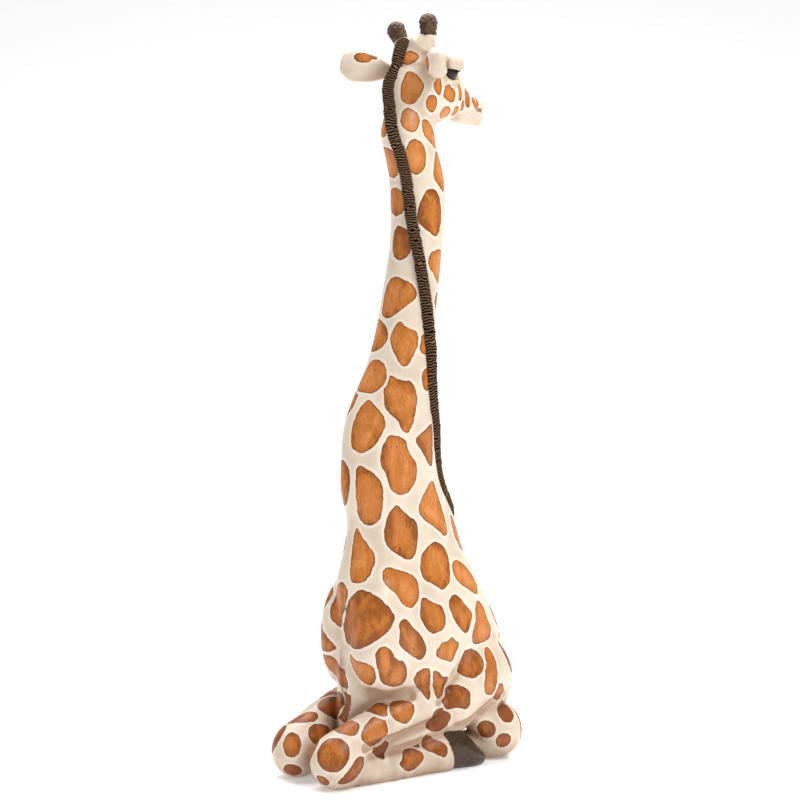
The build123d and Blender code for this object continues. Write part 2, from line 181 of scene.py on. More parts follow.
def trunk_field(p):
    """Oval sections from the seat to the crown, each turned about the trunk's axis."""
    y, wide, long, turn = trunk_section(p[..., 2].ravel())
    shape = p.shape[:-1]
    y, wide, long, turn = (v.reshape(shape) for v in (y, wide, long, turn))
    dx, dy = p[..., 0], p[..., 1] - y
    across = dx * np.cos(turn) - dy * np.sin(turn)
    back = dx * np.sin(turn) + dy * np.cos(turn)
    near = np.sqrt((across / wide) ** 2 + (back / long) ** 2)
    flat = near * (near - 1) / np.maximum(np.sqrt((across / wide**2) ** 2 + (back / long**2) ** 2), 1e-6)
    return np.maximum(flat, p[..., 2] - TRUNK[-1, 0])


HAUNCH_AXES = np.array([unit(vec(1, 0.1, 0)), unit(vec(0.05, -0.72, -0.68)), unit(vec(0, -0.68, 0.72))])


def torso_field(p):
    """Trunk, shoulders, haunches and rump, with the crease down the chest."""
    q = mirrored(p)
    form = joined(
        trunk_field(p),
        (ellipsoid(q, vec(33, -48, 194), (40, 54, 90)), 5),  # shoulders
        (ellipsoid(q, vec(42, 82, 112), (44, 92, 50), HAUNCH_AXES), 7),
        (ellipsoid(q, vec(40, 118, 118), (44, 58, 62)), 12),  # rump
    )
    crease = union(
        cone(p, (0, -98, 106), (0, -101, 185), 5, 6.5),
        cone(p, (0, -101, 185), (0, -98, 262), 6.5, 2),
    )
    return np.maximum(cut(form, crease, 3), RIM - p[..., 2])


# Stations of the legs: x, y, z, half width, half height
FOREARM = [
    (50, 30, 108, 24, 30), (56, -12, 99, 25, 28), (54, -65, 83, 25, 26), (48, -112, 63, 26, 28),
    (45, -138, 46, 28, 30),
]
FRONT_SHIN = [
    (44, -148, 34, 27, 27), (48, -110, 26, 23, 26), (54, -55, 21, 21, 22), (58, 0, 24, 21, 25),
    (60, 30, 28, 23, 30), (61, 44, 29, 22, 30),
]
HOCK = [(46, 92, 84, 20, 24), (52, 116, 66, 25, 28), (57, 138, 48, 29, 31)]
HIND_SHIN = [(57, 148, 34, 27, 28), (48, 118, 24, 19, 23), (36, 92, 20, 15, 19), (33, 82, 20, 14, 19)]


# Where the paint of the legs ends: a point of the plane and its normal
ANKLE = {
    "front": (vec(61, 34, 29), unit(vec(0, 1, 0.3))),
    "hind": (vec(33.5, 83.8, 17), unit(vec(-0.3, -1, 0))),
}


def past_ankle(q, end):
    """Distance past the line where a leg's paint ends and its hoof begins."""
    root, heading = ANKLE[end]
    return (q - root) @ heading


def front_leg_field(q):
    """A folded front leg: forearm, shin and knee, with a web between forearm and shin."""
    shin = np.maximum(chain(q, FRONT_SHIN), past_ankle(q, "front"))
    web = cone(q, (50, -110, 46), (54, 22, 66), 12, 17)
    knee = ellipsoid(q, vec(44, -144, 38), (35, 36, 38))
    return np.maximum(joined(chain(q, FOREARM), (shin, 4), (web, 8), (knee, 10)), -q[..., 2])


def hind_leg_field(q):
    """What shows of a hind leg: hock, heel and shin."""
    shin = np.maximum(chain(q, HIND_SHIN), past_ankle(q, "hind"))
    heel = ellipsoid(q, vec(58, 143, 42), (34, 35, 38))
    return np.maximum(joined(chain(q, HOCK), (shin, 5), (heel, 10)), -q[..., 2])


# Creases pressed into the body: points along each, radius of the tool, and how softly its edges roll over
CREASES = [
    ([(81, 12, 104), (77, 31, 122), (79, 45, 139), (80, 57, 157)], 3.5, 7),
    ([(79, 46, 63), (78, 64, 65), (77, 93, 78), (83, 116, 91), (82, 134, 96)], 4.0, 6),
    ([(31, -96, 124), (46, -82, 121), (60, -58, 114), (70, -34, 119)], 6.0, 8),
    ([(76, -117, 58), (76, -80, 63), (76, -49, 68), (74, -2, 76)], 4.0, 6),
]


def body_field(p):
    """Torso and legs as one smooth form, with the creases between them."""
    q = mirrored(p)
    form = joined(torso_field(p), (front_leg_field(q), 5), (hind_leg_field(q), 5))
    for line, radius, soft in CREASES:
        for start, end in zip(line, line[1:]):
            form = cut(form, cone(q, start, end, radius, radius), soft)
    return form


# --- The head, in its own frame: side, forward, up ---

HEAD_CENTRE = vec(0, 34, 985)
YAW, ROLL = radians(5), radians(8)
HEAD_RIGHT = vec(cos(YAW) * cos(ROLL), sin(YAW) * cos(ROLL), sin(ROLL))
HEAD_FORWARD = vec(-sin(YAW), cos(YAW), 0)
HEAD_AXES = np.array([HEAD_RIGHT, HEAD_FORWARD, np.cross(HEAD_RIGHT, HEAD_FORWARD)])
EYE = vec(26, 43, -6)
EYE_RADIUS = 12.0


def to_head(p):
    """Points in the head's frame."""
    return (p - HEAD_CENTRE) @ HEAD_AXES.T


def from_head(h):
    """Points of the head's frame in the CAD frame."""
    return HEAD_CENTRE + np.asarray(h, float) @ HEAD_AXES


def head_field(p):
    """The head on the neck's end, with sockets, mouth and nostrils cut in."""
    h = to_head(p)
    m = mirrored(h)
    form = joined(
        ellipsoid(h, vec(0, 15, -2), (31.5, 46, 47)),
        (ellipsoid(h, vec(0, 44, -36), (28, 46, 35)), 14),  # cheeks
        (cone(h, (0, 38, 4), (0, 98, -50), 24, 13), 10),  # bridge of the nose
        (ellipsoid(h, vec(0, 107, -54), (20, 20, 18)), 7),  # muzzle
        (ellipsoid(h, vec(0, 113, -49), (17.5, 14.5, 12.5)), 5),  # nose
        (cone(h, (0, 80, -57), (0, 116.5, -65), 17, 14), 6),  # jaw
        (ellipsoid(m, vec(9.5, 121, -44), (7.5, 8.5, 7)), 3),  # wings of the nostrils
        (ellipsoid(h, vec(0, 121, -66), (13, 9, 7)), 3),  # lower lip
        (trunk_field(p), 14),
        (cone(m, (17, 3, 32), (25.5, 6, 41), 17, 11.5), 9),  # feet of the horns
        (cone(m, (23, 26, 12), (27, 40, 9), 12, 9), 8),  # brows
        (cone(m, (24, 3, -4), (34, 0, -4), 15, 11), 10),  # feet of the ears
        (ellipsoid(m, EYE + vec(3.5, 3, 9.5), (15.5, 18, 13.5)), 2),  # upper lids
        (cone(m, (28, 34, -20), (26, 54, -19), 4, 3), 6),  # lower lids
    )
    socket = ellipsoid(m, EYE + vec(0.6, 0, 0), (EYE_RADIUS + 0.9,) * 3)
    lips = cone(m, (0, 131, -58), (15, 118, -59), 2.6, 2.4)
    mouth = union(lips, cone(m, (15, 118, -59), (20, 92, -57), 2.4, 1.0))
    nostril = cone(m, (9.5, 127, -46), (14, 119, -42), 2.0, 1.4)
    for hole, soft in ((socket, 1.0), (mouth, 3), (nostril, 2.5)):
        form = cut(form, hole, soft)
    return form


# --- Meshing a field ---

BLOCK = 4  # grid steps to one coarse cell
CLOSE = 2.2  # coarse cells whose corners are nearer to the surface than this many cells get sampled finely


def grid_points(axes):
    """All the points of a grid with these places along its axes."""
    return np.stack(np.meshgrid(*axes, indexing="ij"), -1)


def corner_views(array, size):
    """The eight parts of a grid that hold the corners of all its cells."""
    for corner in product((0, 1), repeat=3):
        yield array[tuple(slice(c, c + n) for c, n in zip(corner, size))]


def sample(field, low, high, step):
    """Field values on a grid. Far from the surface only their sign is right."""
    count = np.ceil((vec(*high) - vec(*low)) / step / BLOCK).astype(int) * BLOCK + 1
    axes = [low[i] + step * np.arange(count[i]) for i in range(3)]
    coarse = field(grid_points([a[::BLOCK] for a in axes]))
    nearest = np.full(np.array(coarse.shape) - 1, np.inf)
    for corner in corner_views(coarse, nearest.shape):
        nearest = np.minimum(nearest, np.abs(corner))
    close = nearest < CLOSE * BLOCK * step
    values = np.where(coarse < 0, -FAR, FAR)
    for axis in range(3):
        close = np.repeat(close, BLOCK, axis)
        values = np.repeat(values, BLOCK, axis)
    values = values[tuple(slice(0, n) for n in count)]
    needed = np.zeros(count, bool)
    for corner in corner_views(needed, close.shape):
        corner |= close
    where = np.argwhere(needed)
    values[needed] = field(vec(*low) + where * step)
    return values


def surface_net(values, low, step):
    """Points and triangles of the zero surface, one point to each grid cell that it crosses."""
    inside = values < 0
    size = np.array(values.shape) - 1
    total = sum(corner.astype(int) for corner in corner_views(inside, size))
    cells = np.argwhere((total > 0) & (total < 8))
    index = np.full(size, -1)
    index[tuple(cells.T)] = np.arange(len(cells))
    place = np.zeros((len(cells), 3))
    crossings = np.zeros(len(cells))
    for axis in range(3):
        step_vector = np.eye(3, dtype=int)[axis]
        others = [a for a in range(3) if a != axis]
        for i, j in product((0, 1), repeat=2):
            start = cells.copy()
            start[:, others[0]] += i
            start[:, others[1]] += j
            a = values[tuple(start.T)]
            b = values[tuple((start + step_vector).T)]
            crossed = (a < 0) != (b < 0)
            t = np.where(crossed, a / np.where(crossed, a - b, 1), 0)
            place += np.where(crossed[:, None], start + t[:, None] * step_vector, 0)
            crossings += crossed
    points = vec(*low) + place / crossings[:, None] * step
    quads = []
    for axis in range(3):
        u, v = np.eye(3, dtype=int)[(axis + 1) % 3], np.eye(3, dtype=int)[(axis + 2) % 3]
        ahead = np.moveaxis(inside, axis, 0)
        edge = np.moveaxis(ahead[:-1] != ahead[1:], 0, axis)
        start = np.argwhere(edge)
        start = start[((start >= u + v).all(1)) & ((start < size).all(1))]
        around = (0 * u, u, u + v, v)
        ring = np.stack([index[tuple((start - back).T)] for back in around], 1)
        outward = inside[tuple(start.T)]
        quads.append(np.where(outward[:, None], ring, ring[:, ::-1]))
    quads = np.concatenate(quads)
    corner = points[quads]
    short = length(corner[:, 0] - corner[:, 2]) <= length(corner[:, 1] - corner[:, 3])
    first = np.where(short[:, None], quads[:, [0, 1, 2]], quads[:, [1, 2, 3]])
    second = np.where(short[:, None], quads[:, [0, 2, 3]], quads[:, [1, 3, 0]])
    return points, np.concatenate([first, second])


def gradient(field, points, reach=0.15):
    """How a field changes along x, y and z."""
    steps = np.eye(3) * reach
    return np.stack([(field(points + s) - field(points - s)) / (2 * reach) for s in steps], -1)


def settle(field, points, rounds=2):
    """Moves points onto the zero surface."""
    for _ in range(rounds):
        slope = gradient(field, points)
        move = field(points)[:, None] * slope / np.maximum((slope * slope).sum(-1), 0.05)[:, None]
        points = points - move * np.minimum(1, 1.5 / np.maximum(length(move), 1e-9))[:, None]
    return points


def clip(points, faces, side):
    """The part of a triangle mesh where side is negative, cut through its triangles."""
    value = side(points)
    value = np.where(np.abs(value) < 1e-3, -1e-3, value)
    outside = value[faces] > 0
    mixed = faces[outside.any(1) & ~outside.all(1)]
    kept = [faces[~outside.any(1)]]
    odd_outside = (value[mixed] > 0).sum(1) == 1
    lone = np.where(odd_outside, np.argmax(value[mixed] > 0, 1), np.argmax(value[mixed] < 0, 1))
    turned = np.stack([mixed[np.arange(len(mixed)), (lone + i) % 3] for i in range(3)], 1)
    ends = np.concatenate([turned[:, [0, 1]], turned[:, [0, 2]]])
    ends.sort(axis=1)
    unique, place = np.unique(ends[:, 0] * len(points) + ends[:, 1], return_inverse=True)
    a, b = unique // len(points), unique % len(points)
    t = value[a] / (value[a] - value[b])
    fresh = points[a] + t[:, None] * (points[b] - points[a])
    place = place.ravel() + len(points)
    ab, ac = place[: len(turned)], place[len(turned) :]
    one_in = ~odd_outside
    kept.append(np.stack([turned[one_in, 0], ab[one_in], ac[one_in]], 1))
    two = odd_outside
    kept.append(np.stack([ab[two], turned[two, 1], turned[two, 2]], 1))
    kept.append(np.stack([ab[two], turned[two, 2], ac[two]], 1))
    faces = np.concatenate(kept)
    points = np.concatenate([points, fresh])
    used, faces = np.unique(faces, return_inverse=True)
    return points[used], faces.reshape(-1, 3)


def close_loops(points, faces):
    """Closes each open edge loop with a fan to its middle."""
    edges = faces[:, [0, 1, 1, 2, 2, 0]].reshape(-1, 2)
    code = edges[:, 0] * len(points) + edges[:, 1]
    reverse = edges[:, 1] * len(points) + edges[:, 0]
    after = {int(a): int(b) for a, b in edges[~np.isin(reverse, code)]}
    extra_points, extra_faces = [], []
    while after:
        start, here = next(iter(after.items()))
        del after[start]
        loop = [start]
        while here != start and here in after:
            loop.append(here)
            here = after.pop(here)
        middle = len(points) + len(extra_points)
        extra_points.append(points[loop].mean(0))
        extra_faces += [(b, a, middle) for a, b in zip(loop, loop[1:] + loop[:1])]
    if not extra_points:
        return points, faces
    return np.concatenate([points, extra_points]), np.concatenate([faces, extra_faces])


def sculpt(field, low, high, step):
    """Points and faces of a field's zero surface inside a box."""
    points, faces = surface_net(sample(field, low, high, step), low, step)
    return settle(field, points), faces


def cut_piece(points, faces, keep):
    """The part of a mesh where every function in keep is negative, closed where it was cut."""
    for side in keep:
        points, faces = clip(points, faces, side)
    return close_loops(points, faces)


def grid_faces(rows, columns, wrapped=False):
    """Triangles between neighbours in a grid of points; wrapped joins its last column to its first."""
    grid = np.arange(rows * columns).reshape(rows, columns)
    if wrapped:
        grid = np.concatenate([grid, grid[:, :1]], 1)
    quads = np.stack([grid[:-1, :-1], grid[1:, :-1], grid[1:, 1:], grid[:-1, 1:]], -1).reshape(-1, 4)
    return np.concatenate([quads[:, [0, 1, 2]], quads[:, [0, 2, 3]]])


def outward_faces(points, faces, inside):
    """The faces wound so that the closed mesh has its volume inside."""
    corner = points[faces] - inside
    volume = (np.cross(corner[:, 0], corner[:, 1]) * corner[:, 2]).sum()
    return faces if volume > 0 else faces[:, ::-1]


# --- From arrays to Blender objects ---


def make_mesh(name, points, faces, normals=None, attributes=()):
    """A smooth mesh object from points in millimetres, with numbers stored at its points."""
    mesh = bpy.data.meshes.new(name)
    faces = np.asarray(faces)
    mesh.vertices.add(len(points))
    mesh.vertices.foreach_set("co", (np.asarray(points) * MM).astype(np.float32).ravel())
    mesh.loops.add(faces.size)
    mesh.loops.foreach_set("vertex_index", faces.astype(np.int32).ravel())
    mesh.polygons.add(len(faces))
    mesh.polygons.foreach_set("loop_start", np.arange(0, faces.size, faces.shape[1], dtype=np.int32))
    mesh.update(calc_edges=True)
    mesh.validate()
    mesh.polygons.foreach_set("use_smooth", np.ones(len(mesh.polygons), bool))
    for key, values in dict(attributes).items():
        mesh.attributes.new(key, "FLOAT", "POINT").data.foreach_set("value", np.asarray(values, np.float32))
    if normals is not None:
        mesh.normals_split_custom_set_from_vertices(normals.astype(np.float32).tolist())
    piece = bpy.data.objects.new(name, mesh)
    bpy.context.scene.collection.objects.link(piece)
    return piece


def finish_piece(piece, material, slot, *nodes):
    """Gives a piece its material and its place in the frame."""
    piece.data.materials.append(material)
    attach(piece, ROOT)
    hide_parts(*nodes)


# --- The castings: torso, neck, head and legs share one surface ---

TO_CAMERA = unit(vec(0.766, -0.643, 0))
TORSO_TOP = 420.0  # above this height only the trunk is left
SKULL_LOW = 860.0  # above this height the skull begins
BODY_BOX = ((-105, -192, -4), (105, 190, 340))
NECK_BOX = ((-75, -90, 322), (75, 120, 908))
HEAD_BOX = ((-64, -22, 892), (64, 146, 1048))
BODY_STEP, NECK_STEP, HEAD_STEP = 2.5, 2.6, 1.3


def casting_field(p):
    """The whole outer surface that the castings share."""
    z = p[..., 2]
    result = np.empty(z.shape)
    low, high = z < TORSO_TOP, z > SKULL_LOW
    middle = ~(low | high)
    for where, field in ((low, body_field), (middle, trunk_field), (high, head_field)):
        if where.any():
            result[where] = field(p[where])
    return result


def part_of_body(name):
    """Functions that are negative on one piece of the body."""
    front = lambda p: front_leg_field(mirrored(p))
    hind = lambda p: hind_leg_field(mirrored(p))
    if name == "torso":
        below = lambda p: p[..., 2] - NECK_JOINT
        return [below, lambda p: torso_field(p) - front(p), lambda p: torso_field(p) - hind(p)]
    end, side = name.split("_")
    own, other = (front, hind) if end == "front" else (hind, front)
    away = -1 if side == "left" else 1
    return [lambda p: own(p) - torso_field(p), lambda p: own(p) - other(p), lambda p: away * p[..., 0]]


def build_castings(paint):
    """Torso, legs, neck and head, cut apart where the castings are, then painted as one."""
    body = sculpt(body_field, *BODY_BOX, BODY_STEP)
    cast = {"torso_shell": cut_piece(*body, part_of_body("torso"))}
    for end, side in product(("front", "hind"), ("left", "right")):
        cast[f"{end}_{side}_leg"] = cut_piece(*body, part_of_body(f"{end}_{side}"))
    between = [lambda p: NECK_JOINT - p[..., 2], lambda p: p[..., 2] - HEAD_JOINT]
    cast["neck_shell"] = cut_piece(*sculpt(trunk_field, *NECK_BOX, NECK_STEP), between)
    head = sculpt(head_field, *HEAD_BOX, HEAD_STEP)
    cast["head"] = cut_piece(*head, [lambda p: HEAD_JOINT - p[..., 2]])
    everything = np.concatenate([points for points, _ in cast.values()])
    normals = unit(gradient(casting_field, everything, 0.4))
    patch, tone = painted_patches(everything, normals)
    # Painted shade, with brown wash in the folds, stored at every point
    shade_and_fold_wash = painted_shade_amount(everything, normals)
    start = 0
    for node, (points, faces) in cast.items():
        own = slice(start, start + len(points))
        start += len(points)
        attributes = {"patch": patch[own], "tone": tone[own], "shade_and_fold_wash": shade_and_fold_wash[own]}
        piece = make_mesh(f"{node}_casting", points, faces, normals[own], attributes)
        finish_piece(piece, paint, "painted_cast", node)


# Darkening: brown wash and painted shade in folds, by how far out folds are felt for, with weights; then
# painted shade low down, on the head, round the mouth and on undersides
FOLD_SHADE_AND_WASH = ((5.0, 0.8), (12.0, 0.5), (24.0, 0.25))
LOW_SHADE, HEAD_SHADE, MUZZLE_SHADE, UNDER_SHADE = 0.32, 0.18, 0.15, 0.25


def painted_shade_amount(points, normals):
    """How much a place is darkened: painted shade with brown wash in folds, and painted shade low down, on
    the head, round the mouth and on undersides.
    """
    z = points[:, 2]
    total = LOW_SHADE * np.clip(1 - z / NECK_JOINT, 0, 1) + HEAD_SHADE * np.clip(z / 60 - 15.5, 0, 1)
    for reach, weight in FOLD_SHADE_AND_WASH:
        total += weight * (1 - np.clip(casting_field(points + normals * reach) / reach, 0, 1))
    h = to_head(points)
    muzzle = np.clip((h[:, 1] - 88) / 25, 0, 1) * np.clip((-34 - h[:, 2]) / 22, 0, 1) * (z > HEAD_JOINT)
    return total + MUZZLE_SHADE * muzzle + UNDER_SHADE * np.clip(-0.2 - normals[:, 2], 0, 1)


# --- Patches: every point's distance to the nearest painted edge, negative inside a patch ---

# Outlines drawn in a box from -20 to 20, as seen from outside with up at the top
BOX = 20
KITE = [(-6, 20), (1, 13), (18, 10), (19, 0), (6, -19), (-2, -20), (-16, -4), (-20, 6)]
BOOT = [(-15, 20), (0, 15), (13, 15), (20, 2), (9, -20), (1, -18), (-4, -11), (-18, -4), (-20, 10)]
PEAR = [(-3, 20), (8, 14), (20, 3), (10, -12), (-6, -20), (-19, -15), (-20, -2), (-14, 12)]
KIDNEY = [(-9, 20), (6, 17), (9, 8), (20, 0), (17, -13), (2, -20), (-10, -15), (-13, -6), (-20, 3), (-16, 14)]
SLAB = [(-19, 18), (-10, 20), (16, 11), (20, 0), (17, -15), (0, -20), (-15, -15), (-18, 0)]
SHARD = [(0, 20), (7, 12), (20, -16), (15, -20), (4, -14), (-10, -8), (-20, 0), (-12, 11)]
BOULDER = [(-4, 20), (6, 12), (19, 7), (20, -4), (13, -20), (-2, -17), (-19, -7), (-18, 4), (-12, 16)]
WEDGE = [(-14, 20), (-6, 12), (20, -1), (8, -16), (-4, -20), (-20, -17), (-19, 6)]
FIN = [(20, 20), (4, 15), (-20, 6), (-6, -4), (10, -19), (18, -20), (20, -6)]
LOAF = [(2, 20), (12, 17), (20, 6), (16, -13), (5, -20), (-3, -15), (-19, -8), (-18, 8), (-8, 17)]
LEAF = [(-14, 20), (2, 14), (18, -2), (20, -12), (14, -20), (0, -12), (-19, 0), (-20, 14)]
SADDLE = [(-15, 20), (-2, 15), (18, 8), (20, -10), (11, -20), (-2, -18), (-10, -5), (-20, 4), (-20, 15)]
EGG = [(-5, 20), (8, 15), (20, 4), (15, -7), (3, -17), (-6, -20), (-17, -16), (-20, -6), (-16, 8), (-10, 17)]
HUSK = [(6, 20), (16, 16), (20, 6), (6, -6), (2, -20), (-16, -12), (-20, 0), (-8, 15)]
TENT = [(-10, 20), (6, 2), (20, -12), (14, -20), (-20, -19), (-18, 4)]
GEM = [(-15, 20), (0, 12), (16, 8), (20, -4), (16, -16), (-6, -20), (-20, -4), (-19, 10)]
TOOTH = [(-8, 20), (2, 15), (12, 4), (20, -2), (8, -17), (2, -20), (-8, -12), (-16, 0), (-20, 14)]
BOTTLE = [(2, 20), (13, 12), (13, 0), (20, -9), (12, -19), (-19, -20), (-18, -8), (-10, 0), (-6, 12)]
SPLINTER = [(-12, 20), (6, 4), (20, -20), (6, -18), (-10, -2)]
MITTEN = [(-8, 20), (1, 11), (14, 3), (20, -10), (16, -20), (4, -16), (-20, -3), (-17, 8), (-18, 16)]
BUN = [(7, 20), (10, 13), (20, 9), (12, -6), (6, -20), (-6, -14), (-19, -8), (-20, 2), (-10, 13), (0, 14)]
ROCK = [(-6, 20), (12, 16), (20, 2), (15, -12), (2, -20), (-20, -8), (-12, 8)]
COLUMN = [(6, 20), (18, 8), (18, -8), (8, -20), (-18, -17), (-12, -2), (-4, 14)]
SOCK = [
    (-9, 20), (-2, 14), (2, 7), (14, 3), (20, -8), (18, -18), (4, -20), (-10, -15), (-15, -4), (-20, 11),
    (-16, 18),
]
HEEL = [(-20, 20), (-4, 15), (12, 12), (20, -2), (10, -20), (-4, -12), (-16, 4)]
SASH = [(-16, 20), (0, 16), (18, -4), (20, -19), (6, -14), (-12, 2), (-20, 14)]
HALF_LEAF = [(6, 20), (20, 18), (20, -8), (10, -20), (-2, -12), (-20, 4), (-14, 16)]
FLAG = [(-19, 20), (-4, 14), (6, 6), (20, 7), (10, -8), (2, -20), (-16, -20), (-18, 0)]
BRICK = [(-10, 18), (4, 19), (18, 8), (20, -10), (16, -20), (0, -15), (-12, -18), (-20, -4)]
SCALLOP = [(-8, 18), (6, 20), (20, 4), (10, -16), (-6, -20), (-20, -6), (-12, 2)]
ROUND = [(-8, 19), (8, 20), (20, 8), (19, -8), (8, -20), (-8, -19), (-20, -8), (-19, 9)]
OVAL = [(-4, 20), (12, 15), (20, 2), (15, -13), (2, -20), (-14, -15), (-20, 0), (-15, 14)]
LONG = [(-6, 20), (8, 19), (15, 10), (20, -1), (16, -14), (8, -20), (-4, -15), (-19, -7), (-18, 4), (-12, 12)]
AXE = [(-6, 20), (12, 15), (20, 3), (4, -12), (-8, -20), (-20, -15), (-17, 8)]
HELMET = [(0, 20), (14, 16), (20, -2), (12, -18), (0, -20), (-18, -17), (-10, 14)]
GLOVE = [(8, 20), (16, 18), (16, 6), (20, -10), (-6, -20), (-20, -10), (-16, 4)]
BAR = [(11, 20), (20, 14), (18, 2), (1, -18), (-20, -20), (-12, -4), (2, 16)]
FILLERS = [OVAL, BOULDER, LOAF, KITE, PEAR, GEM, ROCK, EGG]

# On the trunk: height, bearing from the chest towards the camera's side, width, height, outline
TRUNK_PATCHES = [
    (915, 51, 27, 34, OVAL), (896, 111, 32, 42, LEAF), (863, 59, 32, 50, OVAL), (842, 113, 32, 56, LONG),
    (856, -4, 42, 46, OVAL), (904, -8, 24, 26, ROUND), (803, 2, 42, 40, OVAL), (785, 79, 44, 67, LONG),
    (745, 16, 38, 49, OVAL), (711, 102, 36, 50, HALF_LEAF), (670, 21, 64, 60, AXE), (663, 124, 22, 24, OVAL),
    (614, -30, 60, 48, OVAL), (607, 50, 42, 65, KITE), (604, 97, 24, 30, OVAL), (560, -7, 58, 50, HELMET),
    (556, 115, 24, 32, OVAL), (523, 71, 49, 83, BOOT), (491, 16, 51, 78, PEAR), (463, 119, 40, 62, FIN),
    (437, 71, 56, 87, KIDNEY), (397, 20, 39, 85, SLAB), (374, 119, 58, 84, SHARD), (343, 49, 52, 79, BOULDER),
    (334, 154, 44, 62, SPLINTER), (315, 14, 37, 82, WEDGE), (291, 99, 58, 69, LOAF), (268, 141, 56, 58, LEAF),
    (270, 45, 52, 60, SADDLE), (412, -14, 38, 66, OVAL), (309, -22, 44, 64, HUSK), (229, 20, 88, 83, EGG),
    (242, -4, 42, 68, HUSK), (197, -17, 58, 48, TENT), (227, 73, 41, 54, GEM), (222, 111, 47, 58, TOOTH),
    (206, 135, 54, 61, BOTTLE), (203, 162, 38, 52, SPLINTER), (197, 45, 50, 63, MITTEN),
    (174, 82, 42, 36, BUN), (150, 111, 49, 44, ROCK), (137, 126, 30, 72, COLUMN),
    (151, 146, 20, 56, SPLINTER), (163, 33, 53, 62, SOCK), (155, 16, 49, 43, HEEL), (147, -8, 58, 50, SASH),
    (133, 53, 25, 43, HALF_LEAF), (131, 72, 30, 40, FLAG),
]
# On thighs and legs: a point, then width, height, outline
LEG_PATCHES = [
    ((81, 42, 107), 48, 36, BRICK), ((83, 123, 103), 20, 26, OVAL), ((71, 18, 76), 42, 36, SCALLOP),
    ((78, -53, 101), 37, 34, ROUND), ((58, -80, 106), 42, 30, OVAL), ((74, -102, 81), 44, 43, GLOVE),
    ((-30, -85, 92), 52, 34, OVAL), ((52, -131, 83), 40, 30, OVAL), ((-53, -80, 106), 50, 30, OVAL),
    ((-41, -136, 83), 42, 30, BAR), ((-23, -169, 52), 26, 35, OVAL), ((-17, -124, 62), 44, 30, OVAL),
    ((-26, -167, 14), 26, 24, OVAL), ((66, -167, 56), 47, 47, ROUND), ((78, -140, 29), 46, 38, BAR),
    ((51, -174, 17), 20, 18, OVAL), ((77, -84, 48), 34, 28, GEM), ((76, -35, 30), 46, 31, SCALLOP),
    ((77, 7, 42), 40, 32, MITTEN), ((74, 106, 49), 27, 27, OVAL), ((88, 128, 32), 21, 21, ROUND),
    ((81, 136, 73), 28, 32, OVAL),
]
# On the head: side, forward, up in the head's own frame, then width, height, outline
HEAD_PATCHES = [
    ((16, -22, 14), 24, 22, PEAR), ((18, -26, -29), 34, 46, EGG), ((30, 12, -27), 14, 27, LONG),
    ((28, 36, -37), 24, 25, BOULDER), ((24, 2, -51), 20, 23, ROUND), ((18, 34, -63), 18, 18, ROUND),
    ((19, 54, -60), 12, 16, OVAL), ((20, 68, -53), 10, 16, OVAL), ((26, 59, -34), 9, 25, COLUMN),
    ((20, 83, -41), 15, 28, GEM), ((19, 98, -45), 9, 18, OVAL),
]
GAP = 6.0  # least cream left between two patches
CORNER_CUTS = 2  # how often an outline's corners are cut to round them
COPY_LIMIT = 0.2  # mirrored patches only go where normals face the camera less than this
BACK_LIMIT = -0.2  # normals facing the camera less than this count as unseen
MIRROR_BELOW = 360.0  # copies of lower trunk patches are mirrored, copies of higher ones go half way round
# Where no patch is added: forward of this and above this on the head, and below this at the ground
FACE_FROM, BROW_FROM, GROUND_EDGE = 20.0, 18.0, 12.0
FILL_FROM = 21.0  # bare paint this far from any patch gets another patch
FILL_LARGEST, FILL_ON_HEAD = 58, 26  # widest patches added that way
UNDERSIDE = -0.35  # normals pointing down more than this get no such patch
HEAD_TONE_ABOVE = 820.0  # patches higher than this are lighter
LIGHT_ABOVE = 420.0  # patches lower than this get darker towards the ground
TONE_SPREAD, LOW_TONE, HEAD_TONE = 0.2, 0.32, 0.2  # by chance, towards the ground, on the head


def rounded(outline):
    """The outline with its corners cut off, so that it runs in curves."""
    line = np.array(outline, float) / BOX
    for _ in range(CORNER_CUTS):
        after = np.roll(line, -1, axis=0)
        nearer, further = line * 0.78 + after * 0.22, line * 0.22 + after * 0.78
        line = np.stack([nearer, further], 1).reshape(-1, 2)
    return line


def outline_distance(u, v, outline):
    """Signed distance in the plane to a closed outline."""
    best = np.full(u.shape, np.inf)
    inside = np.zeros(u.shape, bool)
    for (ax, ay), (bx, by) in zip(outline, np.roll(outline, -1, axis=0)):
        ex, ey = bx - ax, by - ay
        px, py = u - ax, v - ay
        t = np.clip((px * ex + py * ey) / (ex * ex + ey * ey), 0, 1)
        best = np.minimum(best, (px - t * ex) ** 2 + (py - t * ey) ** 2)
        if ay != by:
            inside ^= ((ay > v) != (by > v)) & (u < ex * (v - ay) / ey + ax)
    return np.where(inside, -1, 1) * np.sqrt(best)


